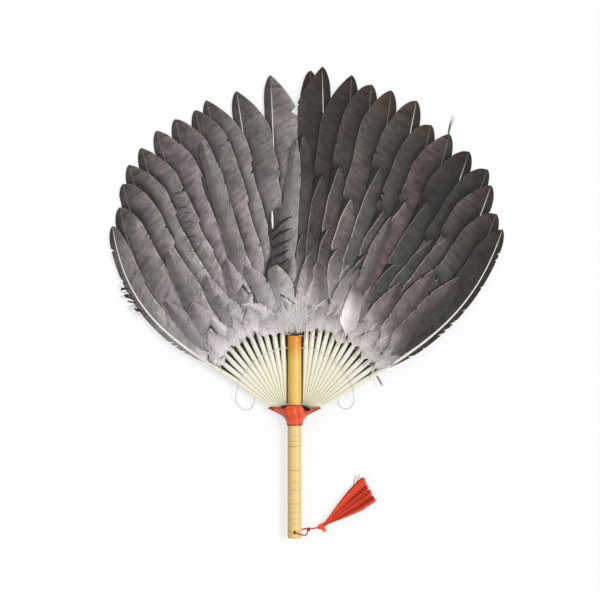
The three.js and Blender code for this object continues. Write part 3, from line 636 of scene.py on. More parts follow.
@dataclass(frozen=True)
class BambooFinish(Finish):
    """Peeled bamboo: pale grip, golden upper rod, orange blush at the top, brown node lines, and
    the lines' brown as painted shade down the rod's left side and along its right edge.
    """

    grip: Colour
    golden: Colour
    blush: Colour
    line: Colour

    def inputs(self, kit: Nodes, group: bpy.types.NodeTree | None) -> dict[str, object]:
        """Reads the "dress" attribute and the grain group."""
        ring, upper, top, _ = kit.split("dress")
        noise = kit.group(group, Across=1100.0, Along=16.0)
        colour = kit.blend(top, kit.blend(upper, self.grip, self.golden), self.blush)
        dark = kit.blend(1.0, colour, (0.72, 0.58, 0.4, 1.0), "MULTIPLY")
        for share in (noise["Grain"], noise["Mottle"]):
            colour = kit.blend(kit.times(share, 0.45), colour, dark)
        return {
            "Base Color": kit.blend(ring, colour, self.line),
            "Roughness": kit.times(noise["Grain"], 0.25, self.roughness),
            "Specular IOR Level": 0.25,
            "Coat Weight": 0.22,
            "Coat Roughness": 0.25,
            "Normal": kit.bump(noise["Grain"], 0.25, 0.0003),
        }


@dataclass(frozen=True)
class ResinFinish(Finish):
    """A glossy skin, darkened where it is given painted shade and where it is mottled, with faint
    dents, used on the collar and the glue.
    """

    body: Colour
    deep: Colour
    coat: float

    def inputs(self, kit: Nodes, group: bpy.types.NodeTree | None) -> dict[str, object]:
        """Reads the painted shade attribute and the grain group's mottling."""
        mottle = kit.group(group)["Mottle"]
        worn = kit.plus(kit.value("worn"), kit.span(mottle, 0.42, 0.72, 0.0, 0.55), True)
        return {
            "Base Color": kit.blend(worn, self.body, self.deep),
            "Roughness": kit.times(mottle, 0.2, self.roughness),
            "Specular IOR Level": 0.3,
            "Coat Weight": self.coat,
            "Coat Roughness": 0.27,
            "Normal": kit.bump(mottle, 0.2, 0.0012),
        }


@dataclass(frozen=True)
class YarnFinish(Finish):
    """Twisted yarn or loose silk: a stripe that winds round the strand, in two shades."""

    light: Colour
    dark: Colour
    turns: float
    plies: float

    def inputs(self, kit: Nodes, group: bpy.types.NodeTree | None) -> dict[str, object]:
        """Reads the piece's uv, run and turn, and its "tone" attribute; silk has no stripe."""
        run, turn = kit.lay()[:2]
        wave = kit.wave(kit.plus(kit.times(run, self.turns), kit.times(turn, self.plies)))
        share = kit.plus(kit.times(wave, 0.5 if self.plies else 0.0), kit.value("tone"), True)
        colour = kit.blend(share, self.light, self.dark)
        return {"Base Color": colour, "Specular IOR Level": 0.2, "Normal": kit.bump(wave, 0.4, 0.0002)}


class Wardrobe:
    """All the fan's materials, built once."""

    def __init__(self) -> None:
        """Builds the groups and then each finish."""
        barbs, grain = barb_group(), grain_group()
        self.left_vane = VaneFinish(
            "grey vane", 0.62, srgb(141, 138, 133), srgb(147, 133, 136), srgb(218, 210, 213), srgb(84, 76, 73),
            srgb(208, 202, 199), srgb(44, 39, 38),
        ).build(barbs)
        # The right half's darker greys are partly painted shade, where its feathers turn their sheen from the light.
        self.right_vane = VaneFinish(
            "dark vane", 0.6, srgb(85, 84, 78), srgb(98, 82, 82), srgb(214, 206, 205), srgb(66, 50, 41),
            srgb(196, 186, 181), srgb(13, 10, 8),
        ).build(barbs)
        ivory, white = srgb(245, 241, 216), srgb(246, 243, 234)
        self.left_shaft = ShaftFinish("grey shaft", 0.38, ivory, white, srgb(88, 78, 76)).build(grain)
        self.right_shaft = ShaftFinish("dark shaft", 0.38, ivory, white, srgb(56, 46, 42)).build(grain)
        self.down = DownFinish("down", 0.85, srgb(255, 252, 249), srgb(222, 214, 217)).build()
        # The wisps' dark colour also makes the painted shade in the split at the seam.
        self.wisp = DownFinish("wisps", 0.8, srgb(150, 142, 142), srgb(46, 41, 40)).build()
        # The lining's colours are painted shade in the slots between the quills.
        self.lining = DownFinish("lining", 0.9, srgb(76, 74, 56), srgb(186, 178, 146)).build()
        self.bamboo = BambooFinish(
            "peeled bamboo", 0.34, srgb(247, 221, 156), srgb(249, 211, 116), srgb(228, 136, 0), srgb(156, 118, 40)
        ).build(grain)
        self.collar = ResinFinish("collar skin", 0.3, srgb(244, 78, 0), srgb(104, 10, 0), 0.62).build(grain)
        self.glue = ResinFinish("root glue", 0.3, srgb(176, 138, 74), srgb(110, 78, 40), 0.4).build(grain)
        self.thread = YarnFinish("white thread", 0.6, srgb(236, 234, 228), srgb(180, 178, 172), 60.0, 2.0).build()
        self.cord = YarnFinish("cord", 0.5, srgb(206, 56, 40), srgb(112, 20, 18), 40.0, 2.0).build()
        self.silk = YarnFinish("tassel silk", 0.36, srgb(255, 90, 60), srgb(130, 8, 4), 0.0, 0.0).build()


# The fan's halves


class Side(Enum):
    """The two halves of the fan, with the sign of x on each."""

    LEFT = -1
    RIGHT = 1


@dataclass
class FanHalf:
    """Where one half's quills and shafts run, and how high its sheet of feathers lies.

    A shaft's angle about the root point goes evenly with distance from its quill angle to its tip
    angle, and the outer shafts bow outwards besides by half a sine. The height of feather k is the
    sheet's height plus a step for each feather below it. Lap is how far the innermost vane reaches
    over the seam. The pale of the vanes ends at a distance, less a loss towards the outermost
    feather; rim_highlight and shade_reach say how strong their painted highlight edge and how wide
    their painted shade is.
    """

    side: Side
    last_quill: float
    last_tip: float
    tip_shares: Sequence[float]
    length_shares: Sequence[float]
    notches: Sequence[float]
    first_quill: float = 3.0
    longest: float = 335.6
    root_offset: float = 7.7
    root_y: float = -6.7
    root_start: float = 9.0
    quill_radius: float = 2.15
    vane_start: float = 84.0
    bend_length: float = 12.0
    broad_width: float = 28.0
    narrow_width: float = 7.6
    shaft_radius: float = 1.8
    layer_step: float = 1.0
    seam_x: float = 2.3
    bow: float = 0.06
    bow_start: float = 58.0
    shrink: float = 0.235
    droop: float = 1.6
    top_z: float = 1.75
    tip_z: float = -7.3
    gap: float = 0.3
    lap: float = 0.0
    slot: str = "feather_brown"
    pale_start: float = 84.0
    pale_end: float = 168.0
    pale_loss: float = 40.0
    cover_pale: float = 76.0
    cover_pale_loss: float = 28.0
    rim_highlight: float = 0.5
    shade_reach: float = 4.6

    def __post_init__(self) -> None:
        """Works out angles in radians and the lengths."""
        self.count = len(self.tip_shares)
        steps = np.arange(self.count) / (self.count - 1)
        self.quills = np.radians(self.first_quill + (self.last_quill - self.first_quill) * steps)
        self.span = np.radians(self.last_tip)
        self.tips = self.span * np.array(self.tip_shares)
        self.lengths = self.longest * np.array(self.length_shares)
        self.seam = self.side.value * self.seam_x + self.gap

    @property
    def name(self) -> str:
        """The half's name in the CAD nodes."""
        return self.side.name.lower()

    def shaft_angle(self, k: int, distance: Array) -> Array:
        """Angle of shaft k at a distance from the root point."""
        share = clamp01((distance - self.bow_start) / (self.lengths[k] - self.bow_start))
        bow = self.bow * (k / (self.count - 1)) ** 3
        return mix(self.quills[k], self.tips[k], distance / self.lengths[k]) + bow * np.sin(np.pi * share)

    def heading(self, k: int, distance: Array) -> Array:
        """Direction in which shaft k runs at a distance."""
        bend = (self.tips[k] - self.quills[k]) / self.lengths[k]
        run = self.lengths[k] - self.bow_start
        share = clamp01((distance - self.bow_start) / run)
        turn = self.bow * (k / (self.count - 1)) ** 3 * np.cos(np.pi * share) * np.pi / run * (share > 0)
        return self.shaft_angle(k, distance) + np.arctan(distance * (bend + turn))

    def spot(self, distance: Array, angle: Array) -> Array:
        """The place at a distance and angle from the root point, with x positive outwards."""
        return stack(self.root_offset + distance * np.sin(angle), self.root_y + distance * np.cos(angle))

    def on_shaft(self, k: int, distance: Array) -> Array:
        """The place on shaft k at a distance."""
        return self.spot(distance, self.shaft_angle(k, distance))

    def polar(self, spots: Array) -> tuple[Array, Array]:
        """Distance and angle of places from the root point."""
        x, y = spots[..., 0] - self.root_offset, spots[..., 1] - self.root_y
        return np.hypot(x, y), np.arctan2(x, y)

    def pitch_angle(self, distance: Array) -> Array:
        """Mean angle between neighbouring shafts at a distance."""
        inner = mix(self.quills[0], self.tips[0], distance / self.lengths[0])
        outer = mix(self.quills[-1], self.tips[-1], distance / self.lengths[-1])
        return (outer - inner) / (self.count - 1)

    def pitch(self, k: int, distance: Array) -> Array:
        """Distance between shafts k and k + 1, square to shaft k."""
        apart = self.shaft_angle(k + 1, distance) - self.shaft_angle(k, distance)
        return distance * np.sin(apart) * np.cos(self.heading(k, distance) - self.shaft_angle(k, distance))

    def quill_width(self, k: int, distance: Array) -> Array:
        """Radius of quill k, thinned where the quills crowd together."""
        room = np.full_like(distance, np.inf)
        if k > 0:
            room = np.minimum(room, self.pitch(k - 1, distance))
        if k + 1 < self.count:
            room = np.minimum(room, self.pitch(k, distance))
        return np.minimum(self.quill_radius, (room - self.gap) / 2)

    def sheet(self, spots: Array) -> Array:
        """Height of the sheet: level over the quills, drooping towards the outline."""
        distance, angle = self.polar(spots)
        spread = np.minimum((angle / self.span) ** 2, 1)
        outline = self.longest * (1 - self.shrink * spread)
        along = clamp01((distance - self.vane_start) / (outline - self.vane_start))
        return mix(self.top_z, self.tip_z, along**self.droop)

    def layer(self, k: int, spots: Array) -> Array:
        """Height of feather k's sheet."""
        distance, angle = self.polar(spots)
        inner = mix(self.quills[0], self.tips[0], distance / self.lengths[0])
        order = (angle - inner) / self.pitch_angle(distance)
        return self.sheet(spots) + self.layer_step * (k - order)

    def pile(self, spots: Array) -> Array:
        """Height of the top of the flight feathers' pile."""
        distance, _ = self.polar(spots)
        along = (distance - self.vane_start) / (self.lengths[-1] - self.vane_start)
        layers = self.broad_width * rise(along) / (distance * self.pitch_angle(distance))
        return self.sheet(spots) + self.layer_step * (layers + 0.5) + 0.4

    def to_fan(self, spots: Array, heights: Array) -> Array:
        """Places of the half's own plane, with heights, in the working frame."""
        return np.concatenate([spots[..., :1] * self.side.value, spots[..., 1:], heights[..., None]], axis=-1)


def rise(along: Array, over: float = 0.3) -> Array:
    """Share of the full width near the quill end of a vane: a quarter sine over its first part."""
    return np.sin(np.pi / 2 * clamp01(along / over))


LEFT_HALF = FanHalf(
    side=Side.LEFT,
    last_quill=60.0,
    last_tip=42.7,
    bow=0.094,
    lap=1.3,
    slot="feather_grey",
    pale_end=176.0,
    pale_loss=0.0,
    cover_pale_loss=0.0,
    rim_highlight=0.8,
    shade_reach=3.8,
    tip_shares=(0.063, 0.206, 0.335, 0.391, 0.485, 0.576, 0.67, 0.756, 0.827, 0.909, 1),
    length_shares=(0.975, 0.939, 0.931, 0.912, 0.906, 0.896, 0.872, 0.847, 0.811, 0.763, 0.736),
    notches=(0.7, 0.62, 0.7, 0.55, 0.66, 0.74, 0.58, 0.7, 0.62, 0.56, 0.66),
)
RIGHT_HALF = FanHalf(
    side=Side.RIGHT,
    last_quill=65.0,
    last_tip=47.2,
    tip_shares=(0.028, 0.068, 0.174, 0.25, 0.324, 0.422, 0.506, 0.585, 0.684, 0.784, 0.835, 0.932, 1),
    length_shares=(0.987, 1, 0.984, 0.967, 0.964, 0.958, 0.909, 0.908, 0.893, 0.881, 0.851, 0.8, 0.781),
    notches=(0.72, 0.74, 0.6, 0.66, 0.54, 0.7, 0.58, 0.66, 0.73, 0.6, 0.69, 0.56, 0.64),
)


# The long feathers


@dataclass
class Vane:
    """One vane as a rule: its middle line, widths and height, from start to end distance."""

    start: float
    end: float
    middle: Callable[[Array], Array]
    heading: Callable[[Array], Array]
    height: HeightOf
    broad: Callable[[Array], Array]
    narrow: Callable[[Array], Array]


@dataclass
class FeatherMaker:
    """Builds a feather's surfaces from its vane rule.

    The vane is a grid of barbs by steps across. A barb leaves the shaft at station r and reaches
    the edge at station e = r + lead (1 - r^3), so it slants to the tip. Its points are at share t
    between the shaft and the edge, at station r + (e - r) t and offset t times the width there.
    The steps across follow a quarter sine, so that they crowd towards the edges.
    """

    half: FanHalf
    rows: int = 200
    cols: int = 10
    thickness: float = 0.16
    camber: float = 0.22
    lead: float = 0.09
    narrow_lead: float = 0.05
    fringe: float = 0.014
    flutter: float = 0.06

    def ragged(self, rng: np.random.Generator, splits: int, depth: float) -> Array:
        """Share of each barb's length that is kept: short random lengths and a few V cuts."""
        keep = 1 - self.fringe * rng.random(self.rows)
        if not splits:
            return keep
        at = rng.uniform(0.1, 0.95, splits) * self.rows
        deep = depth * rng.uniform(0.3, 1.0, splits)
        wide = rng.uniform(0.8, 2.0, splits)
        rows = np.arange(self.rows)[:, None]
        return keep - (deep * clamp01(1 - np.abs(rows - at) / wide)).max(axis=1)

    def vane(
        self, rule: Vane, rng: np.random.Generator, splits: tuple[int, int] = (2, 2), depth: float = 0.2
    ) -> tuple[Surface, dict[str, Array]]:
        """The vane's closed thin sheet.

        Args:
            rule: the feather's line, widths and height.
            rng: the feather's own random numbers.
            splits: how many V cuts the broad and the narrow edge have.
            depth: the deepest cut's share of the width.

        Returns:
            The surface, and grids for its colours: station, offset, share across, place, and the
            distance inside the broad edge.
        """
        root = np.linspace(0, 1, self.rows)[:, None]
        steps = np.sin(np.pi / 2 * np.linspace(0, 1, self.cols + 1))
        across = np.concatenate([steps[::-1], -steps[1:]])[None, :]
        share = np.abs(across)
        lead = np.where(across > 0, self.narrow_lead, self.lead) * (1 - root**3)
        narrow_keep = self.ragged(rng, splits[1], depth)[:, None]
        keep = np.where(across > 0, narrow_keep, self.ragged(rng, splits[0], depth)[:, None])
        station = np.minimum(root + lead * share**0.85 * keep, 1.0)
        width = np.where(across > 0, rule.narrow(station), rule.broad(station))
        offset = np.sign(across) * share * width * keep
        distance = mix(rule.start, rule.end, station)
        spots = rule.middle(distance) + outwards(rule.heading(distance)) * offset[..., None]
        flutter = self.flutter * np.sin(30 * root + 3 * share + rng.uniform(0, 6)) * share
        height = rule.height(spots) + self.camber * (0.5 - share**2) + flutter
        half_thick = self.thickness / 2 * (1 - 0.7 * share**4)
        surface = shell(self.half.to_fan(spots, height + half_thick), self.half.to_fan(spots, height - half_thick))
        run = root * (rule.end - rule.start) * 0.01 + rng.uniform(0, 50)
        surface.uv = both_faces(stack(run, share))
        share = np.broadcast_to(share, station.shape)
        grid = {"station": station, "offset": offset, "spots": spots, "share": share, "inside": width + offset}
        return surface.outward(), grid

    def rod(self, run: Array, middles: Array, heights: Array, radii: Array, wide: float = 1.0) -> Surface:
        """A quill and shaft as one tapered tube, a little flattened: its points keep their height
        and go out from its middle by the wide share. "run" is 0 at its root and 1 at its tip."""
        line, sides = self.half.to_fan(middles, heights), 10
        surface = tubes(line[None], radii, sides, material=1, run=clamp01(run))
        middle = np.repeat(line, sides, axis=0)[:, :2]
        surface.points[:, :2] = middle + (surface.points[:, :2] - middle) * wide
        return surface


@dataclass(frozen=True)
class Look:
    """How one flight feather looks.

    Tone goes from cool to warm grey; white_end is how far its shaft stays white, tip_power how
    pointed its tip is, low_lobe where its lower lobe ends, tip_brown how brown its tip is and
    narrow_light how bright its narrow side is painted, as shade where it turns from the light. The
    broad vane narrows to the slim share from slim_from on, and is notched at each cut, a station
    and a depth.
    """

    tone: float = 0.4
    light: float = 1.0
    white_end: float = 0.6
    tip_power: float = 0.8
    low_lobe: float = 0.34
    tip_brown: float = 0.6
    narrow_light: float = 0.7
    slim: float = 1.0
    slim_from: float = 0.45
    cuts: tuple[tuple[float, float], ...] = ()


LEFT_LOOKS = (
    Look(0.3, 1.22, 0.93, 0.95, 0.3, 0.3, 0.4, 1.0, 0.45, ((0.85, 7.0),)),
    Look(0.45, 0.9, 0.95, 0.9, 0.34, 0.7, 0.6),
    Look(0.3, 0.96, 0.6, 0.9, 0.4, 0.8),
    Look(0.55, 0.9, 0.6, 0.75, 0.28, 0.8),
    Look(0.9, 0.98, 0.6, 0.65, 0.37, 0.6),
    Look(0.85, 0.98, 0.6, 0.75, 0.3, 0.5),
    Look(0.6, 0.93, 0.6, 0.85, 0.42, 0.6, 0.55),
    Look(0.35, 1.0, 0.6, 0.7, 0.33, 0.7),
    Look(0.5, 1.06, 0.6, 0.5, 0.27, 0.8),
    Look(0.55, 1.0, 0.6, 0.6, 0.38, 0.9, 0.7, 0.82, 0.3),
    Look(0.4, 0.94, 0.97, 0.6, 0.3, 0.7, 0.6, 0.5, 0.1),
)
RIGHT_LOOKS = (
    Look(0.8, 0.7, 0.6, 0.5, 0.3, 0.9, 0.7, 0.46),
    Look(0.25, 0.6, 0.94, 0.95, 0.36, 0.5),
    Look(0.6, 0.5, 0.6, 0.85, 0.3, 0.6),
    Look(0.5, 0.74, 0.6, 0.5, 0.4, 0.5),
    Look(0.35, 1.04, 0.6, 0.65, 0.33, 0.9),
    Look(0.1, 0.96, 0.96, 0.55, 0.28, 0.6),
    Look(0.2, 0.8, 0.6, 0.45, 0.37, 0.4),
    Look(0.95, 1.0, 0.6, 0.7, 0.31, 0.3, 0.8),
    Look(0.1, 0.5, 0.93, 0.5, 0.4, 0.9),
    Look(0.05, 0.54, 0.6, 0.45, 0.3, 0.5),
    Look(0.5, 0.86, 0.96, 0.65, 0.36, 0.7),
    Look(0.15, 0.88, 0.6, 0.45, 0.29, 0.6),
    Look(0.25, 0.42, 0.97, 0.6, 0.34, 0.6, 0.7, 0.75, 0.1),
)


@dataclass
class FlightFeathers:
    """The long feathers of one half, each a piece that stands for its CAD node.

    The lobe sizes are those of the high lobe, the low one is a little smaller. A lobe is set in
    by the inset share of its reach, and the unshaded share of the lobes has no dark sheet of
    painted shade along its edge. Far_off stands for the gap of a feather that none lies on.
    """

    half: FanHalf
    looks: Sequence[Look]
    writer: MeshWriter
    vane_material: bpy.types.Material
    shaft_material: bpy.types.Material
    tip_share: float = 0.19
    narrow_tip_share: float = 0.1
    outermost_narrow: float = 0.74
    least_width: float = 0.35
    shaft_tip_radius: float = 0.28
    lobe_reach: float = 15.0
    lobe_inset: float = 0.42
    lobe_start: float = 8.0
    lobe_lift: float = 0.3
    unshaded_share: float = 0.35
    shadow_sheet_light: float = 0.16
    seam_dip: float = 0.9
    far_off: float = 60.0

    def station(self, k: int, distance: Array) -> Array:
        """Share of feather k's vane that a distance has run through."""
        return (distance - self.half.vane_start) / (self.half.lengths[k] - self.half.vane_start)

    def spread(self, k: int, station: Array) -> Array:
        """Share of the full broad width by station: it steps out at the notch, narrows evenly to
        the tip, and waves a little."""
        notch, low = self.half.notches[k], self.looks[k].low_lobe
        swell = 0.05 * smooth(low - 0.004, low + 0.008, station) * (1 - smooth(low, notch, station))
        below = 0.9 + 0.06 * (station / notch) + swell
        above = 1.06 - 0.2 * (station - notch) / (1 - notch)
        shape = mix(below, above, smooth(notch - 0.004, notch + 0.008, station))
        return shape + 0.012 * np.sin(21 * station + 2.1 * k) + 0.008 * np.sin(47 * station + k)

    def broad(self, k: int, station: Array) -> Array:
        """Broad vane's width: the spread, rising at the quill and an ogive over the tip's share,
        less the cuts, kept on the half's side of the seam."""
        half, look = self.half, self.looks[k]
        tip = ogive((1 - station) / self.tip_share, 1.8, look.tip_power)
        full = rise(station) * self.spread(k, station) * tip * half.broad_width
        full = full * mix(1.0, look.slim, smooth(look.slim_from, look.slim_from + 0.35, station))
        for at, deep in look.cuts:
            full = full - deep * clamp01(1 - np.abs(station - at) / 0.02) * clamp01((1 - station) / 0.05)
        distance = mix(half.vane_start, half.lengths[k], station)
        room = (half.on_shaft(k, distance)[..., 0] - half.seam + half.lap) / np.cos(half.heading(k, distance))
        return np.maximum(np.minimum(full, room), self.least_width)

    def narrow(self, k: int, station: Array) -> Array:
        """Narrow vane's width: even, rounded off over the last share, clear of the next shaft."""
        half = self.half
        distance = mix(half.vane_start, half.lengths[k], station)
        if k + 1 < half.count:
            width = np.minimum(half.narrow_width, half.pitch(k, distance) - half.shaft_radius - half.gap)
        else:
            width = half.narrow_width * self.outermost_narrow
        tip = ogive((1 - station) / self.narrow_tip_share, 2, 0.6)
        return np.maximum(width * rise(station) * tip, self.least_width)

    def gap_to_next(self, k: int, spots: Array) -> Array:
        """How far a place of feather k lies inside the edge of feather k + 1, which is on top."""
        half = self.half
        if k + 1 >= half.count:
            return np.full(spots.shape[:-1], self.far_off)
        distance, angle = half.polar(spots)
        shaft = half.shaft_angle(k + 1, distance)
        offset = distance * np.sin(shaft - angle) * np.cos(half.heading(k + 1, distance) - shaft)
        station = self.station(k + 1, distance)
        edge = self.broad(k + 1, clamp01(station))
        return np.where(station > 1.0, 400 * (station - 1.0), offset - edge)

    def dress(
        self, k: int, spots: Array, inside: Array, outer: Array, rim_highlight: float, light: float = 1.0, lobed: bool = False
    ) -> dict[str, Array]:
        """Colour shares of a vane or lobe.

        Pale falls with distance from the quill end, the tip share rises over the last tenth, a painted
        highlight makes a thin light line at the broad edge, and the painted shadow is exp(-gap / reach)
        beside the feather on top. Painted light falls from the broad edge inwards, the brightness falls
        from mid length to the tip, and the narrow side is painted dimmer, as shade where it turns from
        the light. A lobed vane has painted shadow just above each lobe, as from the lobe's tip.

        Args:
            k: the feather's number.
            spots: the grid's places.
            inside: distance of each place from the broad edge.
            outer: 1 on the narrow side, 0 on the broad side.
            rim_highlight: strength of the painted highlight line at the broad edge.
            light: brightness beside the feather's own.
            lobed: whether the surface lies under the feather's lobes.

        Returns:
            The values for both faces of the sheet.
        """
        half, look = self.half, self.looks[k]
        distance, angle = half.polar(spots)
        station = clamp01(self.station(k, distance))
        fade = half.pale_end - half.pale_loss * clamp01(angle / half.span) - half.pale_start
        pale = 0.97 * (1 - clamp01((distance - half.pale_start) / fade)) ** 1.4
        # Painted highlight: a thin light line along the broad edge.
        line = bell(inside, 0.55) * rim_highlight * (1 - outer) * mix(1.0, 0.3, smooth(0.5, 0.72, station))
        tip = look.tip_brown * smooth(0.84, 1.0, station) + 0.3 * smooth(0.45, 0.9, station)
        reach = half.shade_reach * (0.78 + 0.22 * np.sin(9 * station + 1.7 * k))
        gap = np.maximum(self.gap_to_next(k, spots), 0)
        # Painted shadow beside the feather that lies on top.
        shade = np.exp(-gap / reach) * mix(0.15, 1.0, smooth(120, 200, distance))
        # Painted shadow of each lobe's tip on the vane just above it.
        if lobed:
            for top, dark in ((half.notches[k], 0.75), (look.low_lobe, 0.5)):
                above = np.where(station > top - 0.03, np.exp(-np.maximum(station - top + 0.01, 0) / 0.03), 0)
                shade = np.maximum(shade, dark * above * (1 - smooth(6, 15, inside)))
        waves = 0.1 * np.sin(0.13 * distance + 2.1 * k) * np.sin(6 * station + 1.3 * k)
        uneven = 1 + waves + 0.05 * np.sin(0.5 * distance + inside)
        far = mix(1.1, 0.86, smooth(0.35, 0.8, station))
        # Painted light, brightest at the broad edge; the narrow side is painted dimmer, as shade.
        inward = 1.24 - 0.5 * smooth(0, 14, inside)
        light = light * look.light * far * inward * mix(1.0, look.narrow_light, outer) * uneven
        return vane_values(look.tone, light, pale, line, shade, clamp01(tip))

    def height(self, k: int, lift: float = 0.0) -> HeightOf:
        """Height of feather k's sheet; the right half's first feather dips under the left's lap."""
        dip = self.seam_dip if self.half.side is Side.RIGHT and k == 0 else 0.0
        return lambda spots: self.half.layer(k, spots) + lift - dip * (1 - smooth(2.5, 9.0, spots[..., 0]))

    def lobe(self, k: int, rng: np.random.Generator, top: float, reach: float, lift: float) -> list[Surface]:
        """A lobe that laps over the vane's edge below a notch, slants to a point there, and at
        times has a dark sheet of painted shade along its edge.

        Its middle line runs a fixed reach inside the vane's edge, its widths shrink with a power
        of the share that is left to its tip.

        Args:
            k: the feather's number.
            rng: the feather's own random numbers.
            top: the station at which it ends.
            reach: how far it reaches across the vane.
            lift: its height over the vane.

        Returns:
            The lobe, and its sheet of painted shade if it has one.
        """
        half, inset = self.half, reach * self.lobe_inset
        end = mix(half.vane_start, half.lengths[k], top)
        slant = reach * (1.1 if k < half.count - 2 else 0.5)

        def middle(distance: Array) -> Array:
            """The lobe's middle line, inside the vane's broad edge."""
            station = clamp01(self.station(k, distance))
            offset = self.broad(k, np.minimum(station, top - 0.012)) - inset
            return half.on_shaft(k, distance) - outwards(half.heading(k, distance)) * offset[..., None]

        rule = Vane(
            start=half.vane_start + self.lobe_start,
            end=end,
            middle=middle,
            heading=lambda d: half.heading(k, d),
            height=self.height(k, lift),
            broad=lambda s: 0.3 + (inset + 0.4) * clamp01((1 - s) / 0.2) ** 0.75 * clamp01(s / 0.1 + 0.1),
            narrow=lambda s: 0.3 + slant * clamp01((1 - s) / 0.4) ** 0.8 * clamp01(s / 0.1 + 0.1),
        )
        maker = FeatherMaker(half, rows=80, cols=6, lead=0.08, narrow_lead=0.04, camber=0.12)
        lobe, grid = maker.vane(rule, rng, splits=(0, 1), depth=0.25)
        inside = np.where(grid["offset"] < 0, grid["inside"], 5.0)
        light = 1.0 + 0.08 * math.sin(2.3 * k + 9 * top)
        lobe.values = self.dress(k, grid["spots"], inside, 0.0, 0.9, light)
        if half.side is Side.LEFT or rng.random() < self.unshaded_share:
            return [lobe]
        # A dark sheet of painted shade under the lobe's broad edge.
        under = replace(
            rule,
            start=end - rng.uniform(30, 60),
            end=end + 1,
            height=self.height(k, lift - 0.2),
            broad=lambda s: 0.3 + (inset + 1.4) * clamp01((1 - s) / 0.12) ** 0.75 * clamp01(s / 0.5) ** 0.5,
            narrow=lambda s: 0.3 + 0 * s,
        )
        gap, grid = maker.vane(under, rng, splits=(0, 0), depth=0.25)
        gap.values = self.dress(k, grid["spots"], np.full_like(grid["inside"], 5.0), 0.0, 0.9, self.shadow_sheet_light)
        return [lobe, gap]

    def feather(self, k: int) -> bpy.types.Object:
        """Builds flight feather k: its vane, its lobes, then its quill and shaft."""
        half, look, length = self.half, self.looks[k], self.half.lengths[k]
        right, outermost = half.side is Side.RIGHT, k + 1 == half.count
        rng = np.random.default_rng(100 * (half.side.value + 2) + k)
        maker = FeatherMaker(half)
        rule = Vane(
            start=half.vane_start,
            end=length,
            middle=lambda d: half.on_shaft(k, d),
            heading=lambda d: half.heading(k, d),
            height=self.height(k),
            broad=lambda s: self.broad(k, s),
            narrow=lambda s: self.narrow(k, s),
        )
        cuts, depth = (11, 0.6) if outermost else (2, 0.16)
        vane, grid = maker.vane(rule, rng, splits=(2, cuts), depth=depth)
        vane.values = self.dress(k, grid["spots"], grid["inside"], grid["offset"] > 0, half.rim_highlight, lobed=right)
        high = self.lobe(k, rng, half.notches[k], self.lobe_reach, self.lobe_lift)
        low = self.lobe(k, rng, look.low_lobe, self.lobe_reach * 0.85, self.lobe_lift * 1.9)
        lobes = [*high, *low] if right else low if k % 3 == 1 else []
        quill = np.linspace(half.root_start, half.vane_start - half.bend_length, 12)
        distances = np.concatenate([quill, np.linspace(half.vane_start, length * 0.995, 60)])
        middles = half.on_shaft(k, distances)
        bare = distances < half.vane_start - 1
        thick, sunk, power = (half.quill_radius, 0.3, 0.45) if outermost else (half.shaft_radius, 0.9, 0.8)
        tapered = mix(thick, self.shaft_tip_radius, clamp01(self.station(k, distances)) ** power)
        radii = np.where(bare, half.quill_width(k, distances), tapered)
        heights = np.where(bare, 0.0, half.layer(k, middles) + 0.26 - radii * sunk)
        shaft = maker.rod(distances / length * 0.8 / look.white_end, middles, heights, radii, wide=1.12)
        name = f"{half.name}_feather_{k + 1:02d}"
        materials = [self.vane_material, self.shaft_material]
        return self.writer.write(f"{name}_vane", [vane, *lobes, shaft], materials, half.slot, "fan", [name])

    def build(self) -> None:
        """Builds every flight feather of the half."""
        for k in range(self.half.count):
            self.feather(k)


# The short feathers


@dataclass(frozen=True)
class Dress:
    """How a short feather is dressed: brightness, tone from cool to warm, the pale share at its
    base, the bare share there that has no vane, how much it narrows towards its tip, and how much
    painted shade darkens its covered side."""

    light: float = 1.0
    tone: float = 0.5
    pale: float = 0.0
    bare: float = 0.0
    taper: float = 0.0
    depth: float = 0.4


